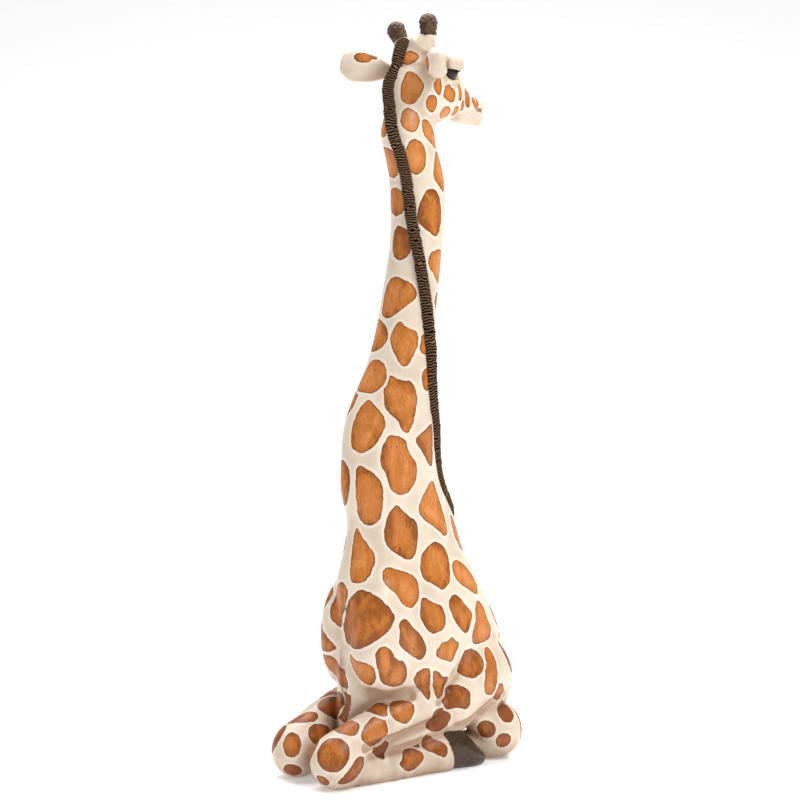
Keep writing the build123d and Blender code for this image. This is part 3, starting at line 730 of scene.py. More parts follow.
class Coat:
    """The painted pattern so far, at every point of the castings."""

    def __init__(self, points, normals):
        """Nothing painted yet."""
        self.points, self.normals = points, normals
        self.distance = np.full(len(points), FAR)
        self.tone = np.zeros(len(points))
        self.rng = np.random.default_rng(5)

    def add(self, centre, width, height, outline, least, flip=1, wrap=-0.3):
        """Paints one patch round the nearest point, kept clear of the patches already there.

        It is left out if less than the given share would show. It reaches normals turned from its own by less
        than the given cosine. A flipped one is a mirror image, which only goes where the camera can't see it.
        """
        at = np.argmin(((self.points - centre) ** 2).sum(-1))
        origin, facing = self.points[at], self.normals[at]
        if flip < 0 and facing @ TO_CAMERA > COPY_LIMIT:
            return False
        up = vec(0, 0, 1) - facing * facing[2]
        up = unit(up) if length(up) > 0.2 else vec(0, 1, 0)
        right = np.cross(up, facing)
        reach = max(width, height) / 2 + FAR * 0.6
        offset = self.points - origin
        turned = self.normals @ facing
        near = np.flatnonzero(((offset**2).sum(-1) < reach**2) & (turned > wrap))
        angle = np.arccos(np.clip(turned[near], -1, 1))
        unroll = angle / np.maximum(np.sin(angle), 0.35)
        unroll = np.where(angle < 0.05, 1, np.clip(unroll, 1, 2))
        u = offset[near] @ right * unroll * flip
        v = offset[near] @ up
        line = rounded(outline) * vec(width, height) / 2
        own = outline_distance(u, v, line)
        trimmed = np.maximum(own, GAP - self.distance[near])
        if (trimmed < 0).sum() < least * max((own < 0).sum(), 1):
            return False
        better = trimmed < self.distance[near]
        self.distance[near[better]] = trimmed[better]
        depth = np.clip((LIGHT_ABOVE - origin[2]) / LIGHT_ABOVE, 0, 1)
        chance = self.rng.uniform(-TONE_SPREAD, TONE_SPREAD)
        self.tone[near[better]] = chance - LOW_TONE * depth**2 + HEAD_TONE * (origin[2] > HEAD_TONE_ABOVE)
        return True

    def fill(self, allowed, tries=160):
        """Adds patches wherever allowed points are far from every patch."""
        open_points = np.flatnonzero(allowed)
        for _ in range(tries):
            far = open_points[np.argmax(self.distance[open_points])]
            room = self.distance[far]
            if room < FILL_FROM:
                return
            largest = FILL_LARGEST if self.points[far, 2] < HEAD_JOINT else FILL_ON_HEAD
            size = np.clip(room * self.rng.uniform(1.3, 1.6), 22, largest)
            shape = FILLERS[self.rng.integers(len(FILLERS))]
            tall = size * self.rng.uniform(1.0, 1.35)
            if not self.add(self.points[far], size, tall, shape, 0.3):
                open_points = open_points[length(self.points[open_points] - self.points[far]) > 8]


def on_trunk(height, bearing):
    """The point of the trunk or torso at a height, in a direction from its centre."""
    y = trunk_section(np.array([height]))[0][0]
    out = vec(sin(radians(bearing)), -cos(radians(bearing)), 0)
    reach = np.linspace(20, 160, 400)
    path = vec(0, y, height) + out * reach[:, None]
    inside = casting_field(path) < 0
    return path[np.flatnonzero(inside)[-1]] if inside.any() else path[0]


def painted_patches(points, normals):
    """Distance and tone of the pattern: the patches in the lists, their mirror images, then fillers."""
    coat = Coat(points, normals)
    for flip, trunk_least, least in ((1, 0.45, 0.3), (-1, 0.55, 0.6)):
        mirror = vec(flip, 1, 1)
        for height, bearing, width, tall, outline in TRUNK_PATCHES:
            other = -bearing if height < MIRROR_BELOW else bearing + 180
            spot = on_trunk(height, bearing if flip > 0 else other)
            coat.add(spot, width, tall, outline, trunk_least, flip)
        for centre, width, tall, outline in LEG_PATCHES:
            coat.add(vec(*centre) * mirror, width, tall, outline, least, flip, 0.2)
        for centre, width, tall, outline in HEAD_PATCHES:
            coat.add(from_head(vec(*centre) * mirror), width, tall, outline, least, flip)
    unseen = normals @ TO_CAMERA < BACK_LIMIT
    in_head = to_head(points)
    bare = (points[:, 2] > HEAD_JOINT) & ((in_head[:, 1] > FACE_FROM) | (in_head[:, 2] > BROW_FROM))
    coat.fill(unseen & ~bare & (normals[:, 2] > UNDERSIDE) & (points[:, 2] > GROUND_EDGE))
    return coat.distance, coat.tone


# --- Hooves ---

HOOVES = {
    "front": [
        (60, 16, 28, 22.5, 28), (61, 42, 31, 22.5, 31), (62, 62, 25, 22, 26), (63, 82, 14, 20, 16),
        (63, 97, 7, 13, 8),
    ],
    "hind": [(33.5, 84, 20, 14.5, 18.5), (30, 64, 15, 15, 15), (28, 50, 8, 10, 9)],
}
HOOF_BOXES = {"front": ((34, 8, -2), (92, 120, 66)), "hind": ((12, 36, -2), (54, 94, 44))}
HOOF_STEP = 1.2


def hoof_field(q, end):
    """A wedge on the ground with a cleft down its middle."""
    stations = HOOVES[end]
    form = chain(q, stations, soft=2)
    tip = vec(*stations[-1][:3])
    heel = vec(*stations[1][:3])
    cleft = cone(q, tip + vec(0, 6, 16) * np.sign(tip - heel), heel + vec(0, 0, heel[2] + 12), 2.5, 1.0)
    form = cut(form, cleft, 3)
    form = np.maximum(form, 0.2 - past_ankle(q, end))
    return np.maximum(form, -q[..., 2])


def build_hooves(paint):
    """All four hooves; the right ones are the left ones mirrored."""
    for end, (low, high) in HOOF_BOXES.items():
        outer = lambda p: np.maximum(hoof_field(p, end), GLUE - torso_field(p))
        points, faces = sculpt(outer, low, high, HOOF_STEP)
        for side, flip in (("left", 1), ("right", -1)):
            placed = points * vec(flip, 1, 1)
            piece = make_mesh(f"{end}_{side}_hoof_paint", placed, faces[:, ::flip])
            finish_piece(piece, paint, "hoof_paint", f"{end}_{side}_hoof")


# --- Horns, ears and eyes ---

HORN = {
    "root": vec(25, 7, 38), "long": 36.5, "radius": 12.6, "sunk": 10.0, "foot": 3.0, "out": 0.3, "back": 0.15,
}
EAR_SWEEP = radians(42)
EAR_ROOT = {"left": vec(27, 0, -1.5), "right": vec(29, 11, -5)}
EAR_RISE = {"left": 0.3, "right": 0.05}
EAR_SECTIONS = {
    "left": [(0, 9, 8), (18, 10, 8), (35, 17, 11), (56, 22, 12.5), (72, 22, 11), (81, 16, 7)],
    "right": [(0, 11, 9), (18, 13, 11), (35, 18, 15), (56, 21.5, 16.5), (72, 18, 14), (81, 11, 9)],
}
SIDES = {"left": -1, "right": 1}


def side_frame(side, root, heading, towards):
    """Origin and axes of a paired feature: along it, then two across it."""
    flip = SIDES[side]
    origin = from_head(root * vec(flip, 1, 1))
    along = unit(heading * vec(flip, 1, 1)) @ HEAD_AXES
    across = towards @ HEAD_AXES
    across = unit(across - along * (across @ along))
    return origin, np.array([along, across, np.cross(across, along) * flip])


def horn_frame(side):
    """A horn's frame: up along it first."""
    return side_frame(side, HORN["root"], vec(HORN["out"], -HORN["back"], 1), vec(0, 1, 0))


def horn_field(p, side):
    """A stubby horn with a rounded top and wrinkles round it."""
    origin, axes = horn_frame(side)
    q = (p - origin) @ axes.T
    a = q[..., 0]
    top = HORN["long"] - HORN["radius"]
    form = cone(q, (-HORN["sunk"], 0, 0), (top, 0, 0), HORN["radius"] * 0.66, HORN["radius"])
    bearing = np.arctan2(q[..., 2], q[..., 1])
    bend = 2.2 * np.sin(a * 0.35 + bearing) + 1.2 * np.sin(4 * bearing - a * 0.6)
    wrinkle = np.sin(3 * bearing + 0.5 * a + bend)
    ridge = np.sin(7 * bearing - 0.9 * a + 1.5 * np.sin(a * 0.5 + 2 * bearing))
    fade = np.clip((HORN["long"] - a) / 9, 0.15, 1)
    return np.maximum(form + (0.55 * wrinkle + 0.45 * ridge) * fade, HORN["foot"] - a)


def ear_frame(side):
    """An ear's frame: out along it, then up, then across to its front face."""
    heading = vec(cos(EAR_SWEEP), -sin(EAR_SWEEP), EAR_RISE[side])
    return side_frame(side, EAR_ROOT[side], heading, vec(0, 0, 1))


def ear_field(p, side):
    """A leaf on a short stalk, hollowed on its front face."""
    origin, axes = ear_frame(side)
    q = (p - origin) @ axes.T
    a, b, c = q[..., 0], q[..., 1], q[..., 2]
    sections = np.array(EAR_SECTIONS[side], float)
    shape = cubic(sections[:, 0], sections[:, 1:], a.ravel()).reshape(a.shape + (2,))
    high, thick = shape[..., 0], shape[..., 1]
    end = np.maximum(a - sections[-1, 0], 0)
    near = np.sqrt((b / high) ** 2 + (c / thick) ** 2 + (end / 6) ** 2)
    form = (near - 1) * np.minimum(high, thick)
    cup = ellipsoid(q, vec(58, 0, 18), (29, 15, 14))
    return np.maximum(cut(form, cup, 3), -4 - a)


def build_paired(name, field, frame_of, middle, reach, step, paint, slot):
    """One form on each side of the head, meshed in a box round the middle of its length."""
    for side in SIDES:
        origin, axes = frame_of(side)
        centre = origin + axes[0] * middle
        points, faces = sculpt(lambda p: field(p, side), centre - reach, centre + reach, step)
        points, faces = cut_piece(points, faces, [lambda p: GLUE - head_field(p)])
        normals = unit(gradient(lambda p: field(p, side), points, 0.3))
        attributes = ear_paint(points, side) if name == "ear" else {}
        piece = make_mesh(f"{side}_{name}_form", points, faces, normals, attributes)
        finish_piece(piece, paint, slot, f"{side}_{name}")


# Patches on the ears' backs: along, up, length, height
EAR_PATCH = {"left": (57, 11, 25, 13), "right": (60, 0, 26, 22)}
EAR_RIM = {"left": (45, 15, 16, 4.5), "right": (56, 19, 22, 5)}


def ear_paint(points, side):
    """A brown patch on the back of each ear and a thin one along its upper rim, with painted shade towards
    the stalk and the lower edge.
    """
    origin, axes = ear_frame(side)
    q = (points - origin) @ axes.T
    patch = np.full(len(points), FAR)
    for along, up, long, high in (EAR_PATCH[side], EAR_RIM[side]):
        line = rounded(OVAL) * vec(long, high) / 2
        patch = np.minimum(patch, outline_distance(q[:, 0] - along, q[:, 1] - up, line))
    patch = np.maximum(patch, q[:, 2] + 1)
    # Painted shade, deepest at the stalk and along the lower edge
    shade_and_fold_wash = np.clip(0.6 - q[:, 0] / 90 - q[:, 1] / 60, 0.15, 0.6)
    return {"patch": patch, "tone": np.full(len(points), -0.1), "shade_and_fold_wash": shade_and_fold_wash}


CORNEA_RISE, CORNEA_REACH = 0.02, 0.55  # share of the eye's radius, and radians from its pole


def build_eyes(paint):
    """Glass eyes: a ball with a slightly raised cornea."""
    rings, turns = 40, 64
    angle = np.linspace(0, pi, rings + 1)[1:-1]
    radius = EYE_RADIUS * (1 + CORNEA_RISE * np.exp(-((angle / CORNEA_REACH) ** 4)))
    around = np.linspace(0, 2 * pi, turns, endpoint=False)
    out, off = (radius * np.cos(angle))[:, None], (radius * np.sin(angle))[:, None]
    local = np.stack(np.broadcast_arrays(out, off * np.cos(around), off * np.sin(around)), -1).reshape(-1, 3)
    local = np.concatenate([local, [(EYE_RADIUS * (1 + CORNEA_RISE), 0, 0), (-EYE_RADIUS, 0, 0)]])
    first = np.arange(turns)
    after, last = np.roll(first, -1), (rings - 2) * turns
    front = np.stack([0 * first + len(local) - 2, first, after], 1)
    back = np.stack([last + first, 0 * first + len(local) - 1, last + after], 1)
    faces = np.concatenate([grid_faces(rings - 1, turns, True), front, back])
    pupil = np.degrees(np.arccos(np.clip(local[:, 0] / EYE_RADIUS, -1, 1)))
    for side in SIDES:
        origin, axes = side_frame(side, EYE, vec(1, 0.3, 0.1), vec(0, 0, 1))
        points = origin + local @ axes
        wound = outward_faces(points, faces, origin)
        piece = make_mesh(f"{side}_eye_glass", points, wound, None, {"from_pupil": pupil})
        finish_piece(piece, paint, "eye_gloss", f"{side}_eye")


# --- Mane ---

MANE_LOW, MANE_HIGH = 346.0, 962.0
MANE_HALF_WIDTH, MANE_RISE = 8.8, 11.5
MANE_WRAP = radians(112)
MANE_ROW = 0.45  # distance between rows of points
STRAND = 4.6  # distance between strands at the shoulders
STRANDS_CLOSE_UP = 0.2  # how much closer they get towards the head
# How steeply strands lean, at distances along the spine
STRAND_SLANTS = [(0, -0.4), (170, -0.35), (290, -0.1), (380, 0.2), (700, 0.25)]
GROOVE_DEPTH = 1.5
MANE_CROWN = [(-32, 6), (-22, 29), (-9, 41)]


def spine_line(at):
    """Points on the back of the neck and over the crown, with the direction that the mane stands in."""
    heights = np.linspace(MANE_LOW, MANE_HIGH, 40)
    y, _, long, turn = trunk_section(heights)
    outward = np.stack([np.sin(turn), np.cos(turn), 0 * turn], -1)
    points = np.stack([0 * y, y, heights], -1) + outward * long[:, None]
    crown = from_head([(0, forward, up) for forward, up in MANE_CROWN])
    crown_out = np.array([vec(0, -0.95, 0.3), vec(0, -0.75, 0.66), vec(0, -0.35, 0.94)]) @ HEAD_AXES
    points, outward = np.concatenate([points, crown]), np.concatenate([outward, crown_out])
    reach = np.concatenate([[0], np.cumsum(length(np.diff(points, axis=0)))])
    place = cubic(reach, points, at * reach[-1])
    return place, unit(cubic(reach, outward, at * reach[-1])), reach[-1]


def strand_relief(s, lean, total):
    """Height of the hair between its grooves, from 0 to 1, along and across the mane, and its two wobbles."""
    rng = np.random.default_rng(11)
    knots = np.linspace(0, total, 140)
    wobble = cubic(knots, rng.normal(0, 0.7, 140), s.ravel()).reshape(s.shape)
    sway = cubic(knots, rng.normal(0, 0.4, 140), s.ravel()).reshape(s.shape)
    slant = np.interp(s, *np.array(STRAND_SLANTS).T)
    kink = 0.8 * np.sin(3.1 * lean + 2.3 * wobble) + 0.5 * np.sin(6.7 * lean + 0.11 * s)
    phase = (s + STRANDS_CLOSE_UP * s**2 / total + slant * MANE_HALF_WIDTH * lean + wobble + kink) / STRAND
    return np.sin(pi * phase) ** 2, wobble, sway


def build_mane(paint):
    """A raised strip of hair, grooved across into strands that lean and wander."""
    _, _, total = spine_line(np.zeros(1))
    rows, columns = int(total / MANE_ROW), 40
    at = np.linspace(0, 1, rows)
    centre, outward, _ = spine_line(at)
    along = unit(np.gradient(centre, axis=0))
    outward = unit(outward - along * (outward * along).sum(-1)[:, None])
    side = np.cross(along, outward)
    lean = np.linspace(-MANE_WRAP, MANE_WRAP, columns)
    s = at[:, None] * total
    relief, wobble, sway = strand_relief(s, lean, total)
    end = np.clip(np.minimum(s, (total - s) * 1.6) / 20, 0, 1) ** 0.5
    depth = GROOVE_DEPTH * (1 - relief) * np.minimum(1, 0.5 + np.abs(lean))
    across = (MANE_HALF_WIDTH * (0.4 + 0.6 * end) - depth) * np.sin(lean) + sway
    rise = (MANE_RISE * (0.3 + 0.7 * end) + 0.4 * wobble - depth) * np.cos(lean)
    points = centre[:, None] + side[:, None] * across[..., None] + outward[:, None] * rise[..., None]
    flat = points.reshape(-1, 3)
    faces = outward_faces(flat, grid_faces(rows, columns, True), centre[rows // 2])
    piece = make_mesh("mane_hair", flat, faces, None, {"depth": (1 - relief).ravel()})
    finish_piece(piece, paint, "mane_paint", "mane")


# --- Tail ---

TAIL = [
    (-6, 166, 190, 11), (-14, 182, 160, 9), (-34, 183, 124, 7.5), (-56, 174, 98, 6.5),
    (-72, 160, 80, 6),
]
TUFT = [
    (-72.4, 159.6, 79.6, 6.5), (-84, 148, 64, 10), (-95, 132, 44, 13), (-99, 116, 24, 11),
    (-96, 106, 12, 5),
]


def tube(stations, rings, turns, groove=0.0, strands=0):
    """A closed tapering tube through (x, y, z, radius) stations, with strands along it if wanted."""
    stations = np.asarray(stations, float)
    fine = cubic(np.arange(len(stations)), stations, np.linspace(0, len(stations) - 1, rings))
    centre, radius = fine[:, :3], fine[:, 3]
    along = unit(np.gradient(centre, axis=0))
    across = unit(np.cross(along, vec(1, 0, 0)))
    other = np.cross(along, across)
    angle = np.linspace(0, 2 * pi, turns, endpoint=False)
    t = np.linspace(0, 1, rings)[:, None]
    strand = np.ones(turns)
    if strands:
        strand = np.abs(np.sin(strands * angle / 2 + 1.5 * np.sin(3 * t + angle))) ** 0.7
    end = np.sqrt(np.clip(np.minimum(t, 1 - t) / 0.04, 0.0, 1))
    reach = (radius[:, None] - groove * (1 - strand)) * (0.15 + 0.85 * end)
    spokes = across[:, None] * np.cos(angle)[:, None] + other[:, None] * np.sin(angle)[:, None]
    points = centre[:, None] + spokes * reach[..., None]
    points, faces = close_loops(points.reshape(-1, 3), grid_faces(rings, turns, True))
    faces = outward_faces(points, faces, centre[rings // 2])
    depth = np.broadcast_to(1 - strand, (rings, turns)).ravel()
    depth = np.concatenate([depth, np.zeros(len(points) - len(depth))])
    return points, faces, depth


def build_tail(paint, hair_paint):
    """The smooth tail against the rump, and its tuft of hair on the ground."""
    points, faces, _ = tube(TAIL, 90, 36)
    none = np.zeros(len(points))
    plain = {"patch": none + FAR, "tone": none, "shade_and_fold_wash": none}
    piece = make_mesh("tail_casting", points, faces, None, plain)
    finish_piece(piece, paint, "painted_cast", "tail")
    points, faces, depth = tube(TUFT, 110, 140, groove=1.6, strands=22)
    points[:, 2] = np.maximum(points[:, 2], 0.3)
    piece = make_mesh("tail_tuft_hair", points, faces, None, {"depth": depth})
    finish_piece(piece, hair_paint, "mane_paint", "tail_tuft")


# --- Materials: node trees only ---

CREAM = (0.78, 0.66, 0.53, 1)
CREAM_DULL = (0.65, 0.525, 0.405, 1)
HALO = (0.87, 0.765, 0.65, 1)
ORANGE = (0.52, 0.165, 0.025, 1)
ORANGE_LIGHT = (0.70, 0.275, 0.08, 1)
ORANGE_DARK = (0.28, 0.075, 0.009, 1)
EDGE_BROWN = (0.13, 0.032, 0.005, 1)
# Brown multiplied over the paint as painted shade, and as brown wash in folds
SHADE_AND_WASH_BROWN = (0.52, 0.38, 0.30, 1)
HAIR = (0.205, 0.12, 0.068, 1)
HAIR_DARK = (0.008, 0.003, 0.001, 1)
# Three tones of each plainer material: main, darker, lighter
TONES = {
    "horn_paint": ((0.105, 0.05, 0.025, 1), (0.04, 0.017, 0.008, 1), (0.26, 0.155, 0.095, 1)),
    "hoof_paint": ((0.05, 0.026, 0.012, 1), (0.02, 0.01, 0.004, 1), (0.10, 0.06, 0.034, 1)),
    "birch_plywood": ((0.55, 0.38, 0.2, 1), (0.42, 0.27, 0.13, 1), (0.65, 0.48, 0.28, 1)),
    "beech_dowel": ((0.56, 0.36, 0.2, 1), (0.45, 0.27, 0.13, 1), (0.66, 0.46, 0.28, 1)),
    "black_felt": ((0.02, 0.02, 0.022, 1), (0.01, 0.01, 0.011, 1), (0.05, 0.05, 0.052, 1)),
    "plaster": ((0.62, 0.6, 0.56, 1), (0.5, 0.48, 0.45, 1), (0.72, 0.7, 0.67, 1)),
}


def new_material(name, roughness, coat=0.0, coat_roughness=0.2, specular=0.5):
    """A material with its node tree and its shader."""
    material = bpy.data.materials.new(name)
    material.use_nodes = True
    shader = material.node_tree.nodes["Principled BSDF"]
    shader.inputs["Roughness"].default_value = roughness
    shader.inputs["Specular IOR Level"].default_value = specular
    shader.inputs["Coat Weight"].default_value = coat
    shader.inputs["Coat Roughness"].default_value = coat_roughness
    return material, material.node_tree, shader


def add_node(tree, kind, inputs, **settings):
    """Adds a shader node; an input is either a value or another node's output."""
    node = tree.nodes.new("ShaderNode" + kind)
    for key, value in settings.items():
        setattr(node, key, value)
    for key, value in inputs.items():
        if isinstance(value, bpy.types.NodeSocket):
            tree.links.new(value, node.inputs[key])
        else:
            node.inputs[key].default_value = value
    return node


def math_node(tree, operation, a, b, c=0.0):
    """A sum or product of values, or a * b + c for MULTIPLY_ADD."""
    return add_node(tree, "Math", {0: a, 1: b, 2: c}, operation=operation).outputs[0]


def ramp(tree, value, low, high, start=0.0, end=1.0):
    """A smooth change from start to end as the value goes from low to high."""
    inputs = {"Value": value, "From Min": low, "From Max": high, "To Min": start, "To Max": end}
    return add_node(tree, "MapRange", inputs, interpolation_type="SMOOTHSTEP").outputs["Result"]


def blend(tree, factor, a, b, mode="MIX"):
    """Colour a turning into colour b."""
    return add_node(tree, "Mix", {0: factor, 6: a, 7: b}, data_type="RGBA", blend_type=mode).outputs[2]


def attribute(tree, name):
    """A number stored at the mesh's points."""
    return add_node(tree, "Attribute", {}, attribute_name=name).outputs["Fac"]


def place(tree, scale=(1, 1, 1)):
    """Object coordinates, stretched."""
    coordinates = add_node(tree, "TexCoord", {}).outputs["Object"]
    return add_node(tree, "Mapping", {"Vector": coordinates, "Scale": scale}).outputs["Vector"]


def noise(tree, vector, scale, detail=3.0, roughness=0.5, distortion=0.0):
    """Noise of about so many patches to the metre."""
    inputs = {"Vector": vector, "Scale": scale, "Detail": detail}
    inputs.update({"Roughness": roughness, "Distortion": distortion})
    return add_node(tree, "TexNoise", inputs).outputs["Fac"]


def bump(tree, shader, height, strength, distance):
    """Fine relief from a height."""
    inputs = {"Height": height, "Strength": strength, "Distance": distance}
    tree.links.new(add_node(tree, "Bump", inputs).outputs["Normal"], shader.inputs["Normal"])


def brushed_cream(tree, mottle, streak, distance):
    """Cream, mottled and streaked, with a cleaner rim round every patch."""
    cream = blend(tree, ramp(tree, mottle, 0.35, 0.75), CREAM, CREAM_DULL)
    cream = blend(tree, ramp(tree, streak, 0.5, 0.8, 0, 0.35), cream, CREAM_DULL)
    return blend(tree, ramp(tree, distance, 0.5, 6.5, 0.75, 0), cream, HALO)


def brushed_orange(tree, distance):
    """Orange-brown in leaning strokes, by each patch's tone, with small knots and an uneven dark edge."""
    leaning = place(tree, (1, 1, 0.45))
    strokes = noise(tree, leaning, 190, 5, 0.6, 1.6)
    broad = noise(tree, leaning, 48, 3, 0.5, 1.2)
    value = math_node(tree, "ADD", strokes, attribute(tree, "tone"))
    value = math_node(tree, "MULTIPLY_ADD", broad, 1.3, value)
    value = math_node(tree, "ADD", value, ramp(tree, distance, -15, -1, 0.16, -0.16))
    orange = blend(tree, ramp(tree, value, 1.1, 1.75), ORANGE, ORANGE_LIGHT)
    orange = blend(tree, ramp(tree, value, 1.15, 0.7), orange, ORANGE_DARK)
    cells = add_node(tree, "TexVoronoi", {"Vector": place(tree, (1, 1, 0.6)), "Scale": 75.0})
    orange = blend(tree, ramp(tree, cells.outputs["Distance"], 0.12, 0.05, 0, 0.6), orange, EDGE_BROWN)
    uneven = ramp(tree, noise(tree, place(tree), 75, 2), 0.35, 0.6, 0.35, 1)
    edge = math_node(tree, "MULTIPLY", ramp(tree, distance, -2.7, -0.9, 0, 0.85), uneven)
    return blend(tree, edge, orange, EDGE_BROWN)


def cast_paint():
    """Cream paint with orange-brown patches, brushed on by hand, under a satin varnish, darkened by painted
    shade and, in folds, brown wash.
    """
    material, tree, shader = new_material("cast_paint", 0.42, 0.12, 0.22, 0.3)
    plain = place(tree)
    mottle = noise(tree, plain, 22, 4)
    streak = noise(tree, place(tree, (1, 1, 0.12)), 420, 3, 0.6)
    wander = math_node(tree, "MULTIPLY_ADD", noise(tree, plain, 95, 4, 0.65), 5.0, -3.5)
    distance = math_node(tree, "ADD", attribute(tree, "patch"), wander)  # millimetres from a patch's edge
    cream, orange = brushed_cream(tree, mottle, streak, distance), brushed_orange(tree, distance)
    colour = blend(tree, ramp(tree, distance, 0.35, -0.35), cream, orange)
    # Painted shade, with brown wash in folds, multiplied over the paint and made uneven by noise
    darkening = math_node(tree, "MULTIPLY_ADD", noise(tree, plain, 60, 3, 0.5), 0.24, attribute(tree, "shade_and_fold_wash"))
    shade_mix = ramp(tree, darkening, 0.25, 0.8, 0, 0.9)
    tree.links.new(blend(tree, shade_mix, colour, SHADE_AND_WASH_BROWN, "MULTIPLY"), shader.inputs["Base Color"])
    bump(tree, shader, math_node(tree, "MULTIPLY_ADD", mottle, 2.0, streak), 0.12, 0.0006)
    tree.links.new(ramp(tree, streak, 0.3, 0.7, 0.36, 0.5), shader.inputs["Roughness"])
    return material


def hair():
    """Dark brown paint, nearly black in the grooves between strands."""
    material, tree, shader = new_material("hair_paint", 0.6, 0.0, 0.35, 0.05)
    grain = noise(tree, place(tree), 420, 4, 0.6)
    deep = math_node(tree, "MULTIPLY_ADD", grain, 0.9, attribute(tree, "depth"))
    tree.links.new(blend(tree, ramp(tree, deep, 0.5, 1.05), HAIR, HAIR_DARK), shader.inputs["Base Color"])
    bump(tree, shader, grain, 0.4, 0.0004)
    return material


def three_toned(name, roughness, scale, coat=0.0, stretch=(1, 1, 1)):
    """A material with broad and fine variation between its three tones."""
    colour, dark, light = TONES[name]
    material, tree, shader = new_material(name, roughness, coat, 0.3, 0.3)
    broad = noise(tree, place(tree, stretch), scale * 0.2, 3, 0.5, 0.4)
    fine = noise(tree, place(tree, stretch), scale, 4, 0.6)
    mixed = blend(tree, ramp(tree, broad, 0.4, 0.65), colour, dark)
    mixed = blend(tree, ramp(tree, fine, 0.55, 0.75), mixed, light)
    tree.links.new(mixed, shader.inputs["Base Color"])
    bump(tree, shader, fine, 0.35, 0.0006)
    return material


def eye_glass():
    """Nearly black brown with a darker pupil, very glossy."""
    material, tree, shader = new_material("eye_glass", 0.05, 0.0, 0.03, 0.3)
    ring = attribute(tree, "from_pupil")
    streaks = noise(tree, place(tree), 600, 2)
    iris = blend(tree, streaks, (0.012, 0.008, 0.006, 1), (0.03, 0.018, 0.012, 1))
    colour = blend(tree, ramp(tree, ring, 24, 30), (0.002, 0.002, 0.002, 1), iris)
    tree.links.new(colour, shader.inputs["Base Color"])
    return material


def metal(name, colour, roughness):
    """Bare metal with fine scratches along its length."""
    material, tree, shader = new_material(name, roughness)
    shader.inputs["Metallic"].default_value = 1.0
    dull = tuple(c * 0.75 for c in colour[:3]) + (1,)
    scratches = noise(tree, place(tree, (1, 1, 8)), 300, 4, 0.7)
    tree.links.new(blend(tree, ramp(tree, scratches, 0.4, 0.7), colour, dull), shader.inputs["Base Color"])
    tree.links.new(ramp(tree, scratches, 0.3, 0.7, roughness, roughness + 0.15), shader.inputs["Roughness"])
    return material


# --- CAD nodes that keep their own meshes ---


def dress_inner_parts():
    """Materials for the parts hidden inside, whose CAD meshes are kept."""
    plywood = three_toned("birch_plywood", 0.6, 260, 0.0, (1, 1, 12))
    beech = three_toned("beech_dowel", 0.6, 300, 0.0, (1, 0.2, 1))
    felt = three_toned("black_felt", 0.95, 1800)
    plaster = three_toned("plaster", 0.9, 240)
    steel = metal("zinc_steel", (0.56, 0.57, 0.6, 1), 0.35)
    brass = metal("turned_brass", (0.72, 0.5, 0.2, 1), 0.3)
    wearing = {
        "base_plate": plywood, "neck_sleeve": plywood, "head_sleeve": plywood, "leg_dowels": beech,
        "ear_pegs": beech, "horn_pegs": beech, "base_felt": felt, "base_weight": plaster,
        "neck_rod": steel, "rod_nut": steel, "rod_washer": steel, "rod_insert": brass,
    }
    for name, material in wearing.items():
        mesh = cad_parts[name].data
        mesh.materials.clear()
        mesh.materials.append(material)


# --- Stage: floor, lights and camera ---

IMAGE_RIGHT = vec(0.643, 0.766, 0)
CAMERA_DISTANCE, CAMERA_HEIGHT, CAMERA_SHIFT = 3400.0, 867.0, 5.6
CAMERA_DIP = radians(5.76)
LENS, SENSOR = 109.44, 36
WORLD_LIGHT, FLOOR_GLOW = 0.26, 0.28
# Name, metres to the right and towards the camera, height, size, power, height aimed at
LAMPS = [
    ("key", 1.7, 1.8, 2.9, (1.2, 1.6), 74, 0.5),
    ("fill", -2.4, 1.6, 1.6, (1.6, 2.0), 6, 0.5),
    ("backdrop", 0, -1.2, 3.4, (5, 2), 185, -1.5),
]


def add_camera():
    """The photograph's view, looking slightly down."""
    camera = bpy.data.objects.new("camera", bpy.data.cameras.new("camera"))
    camera.data.lens = LENS
    camera.data.sensor_width = SENSOR
    camera.data.clip_end = 50
    spot = TO_CAMERA * CAMERA_DISTANCE + IMAGE_RIGHT * CAMERA_SHIFT + vec(0, 0, CAMERA_HEIGHT)
    heading = Vector(-TO_CAMERA * cos(CAMERA_DIP) - vec(0, 0, sin(CAMERA_DIP)))
    camera.location = Vector(spot * MM)
    camera.rotation_euler = heading.to_track_quat("-Z", "Y").to_euler()
    bpy.context.scene.collection.objects.link(camera)
    bpy.context.scene.camera = camera


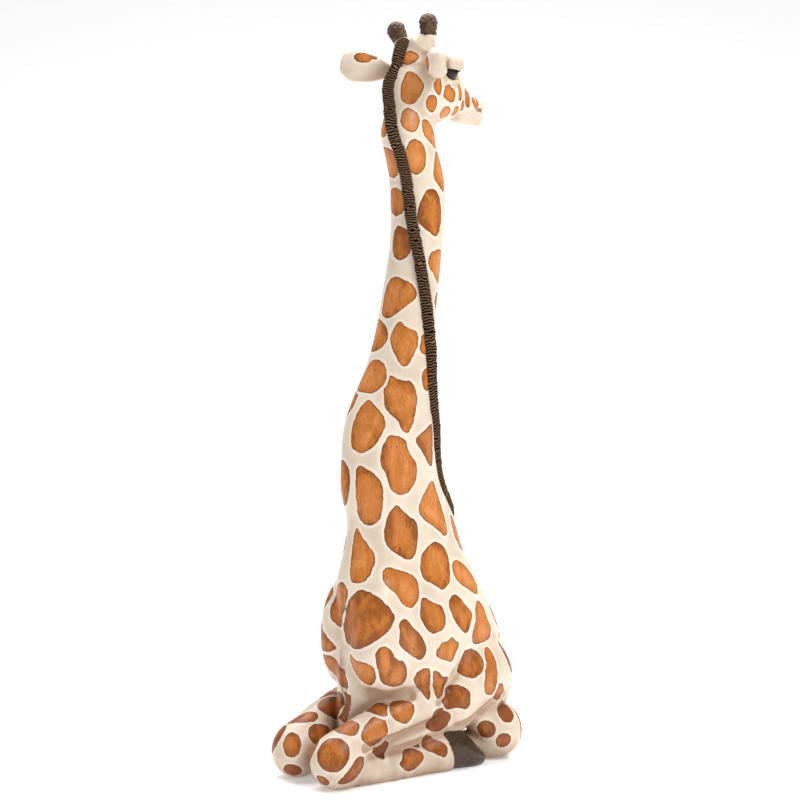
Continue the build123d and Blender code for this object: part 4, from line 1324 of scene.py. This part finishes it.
def add_lamp(name, right, towards, height, size, power, aim):
    """A soft rectangular light placed to the right of, towards and above the statue as the camera sees it."""
    lamp = bpy.data.objects.new(name, bpy.data.lights.new(name, "AREA"))
    lamp.data.shape = "RECTANGLE"
    lamp.data.size, lamp.data.size_y = size
    lamp.data.energy = power
    spot = Vector(IMAGE_RIGHT * right + TO_CAMERA * towards + vec(0, 0, height))
    lamp.location = spot
    lamp.rotation_euler = (Vector((0, 0, aim)) - spot).to_track_quat("-Z", "Y").to_euler()
    bpy.context.scene.collection.objects.link(lamp)


def add_floor():
    """A pale floor that curves up behind the statue."""
    rows, half = 60, 6.0
    run = np.linspace(-half, half, rows)
    sweep = np.where(run > 3.5, (run - 3.5) ** 2 * 0.6, 0)
    across = np.linspace(-half, half, 3)
    points = [-TO_CAMERA * r + IMAGE_RIGHT * a + vec(0, 0, s) for r, s in zip(run, sweep) for a in across]
    floor = make_mesh("floor", np.array(points) / MM, grid_faces(rows, 3)[:, ::-1])
    material, tree, shader = new_material("pale_floor", 0.9)
    shade = noise(tree, place(tree), 3, 2)
    tree.links.new(blend(tree, shade, (0.9, 0.9, 0.9, 1), (0.92, 0.92, 0.92, 1)), shader.inputs["Base Color"])
    shader.inputs["Emission Color"].default_value = (1, 1, 1, 1)
    shader.inputs["Emission Strength"].default_value = FLOOR_GLOW
    floor.data.materials.append(material)


def add_light():
    """A white world and three soft lamps."""
    world = bpy.data.worlds.new("studio")
    world.use_nodes = True
    background = world.node_tree.nodes["Background"]
    background.inputs["Color"].default_value = (1, 1, 1, 1)
    background.inputs["Strength"].default_value = WORLD_LIGHT
    bpy.context.scene.world = world
    for lamp in LAMPS:
        add_lamp(*lamp)
    bpy.context.scene.view_settings.view_transform = "Standard"


# --- The statue ---

paint = cast_paint()
hair_paint = hair()
horn_paint = three_toned("horn_paint", 0.5, 420, 0.1)
hoof_paint = three_toned("hoof_paint", 0.3, 160, 0.08)
build_castings(paint)
build_hooves(hoof_paint)
build_paired("horn", horn_field, horn_frame, 14, vec(22, 22, 32), 0.9, horn_paint, "horn_paint")
build_paired("ear", ear_field, ear_frame, 42, vec(52, 52, 42), 1.0, paint, "painted_cast")
build_eyes(eye_glass())
build_mane(hair_paint)
build_tail(paint, hair_paint)
dress_inner_parts()
add_camera()
add_light()
add_floor()
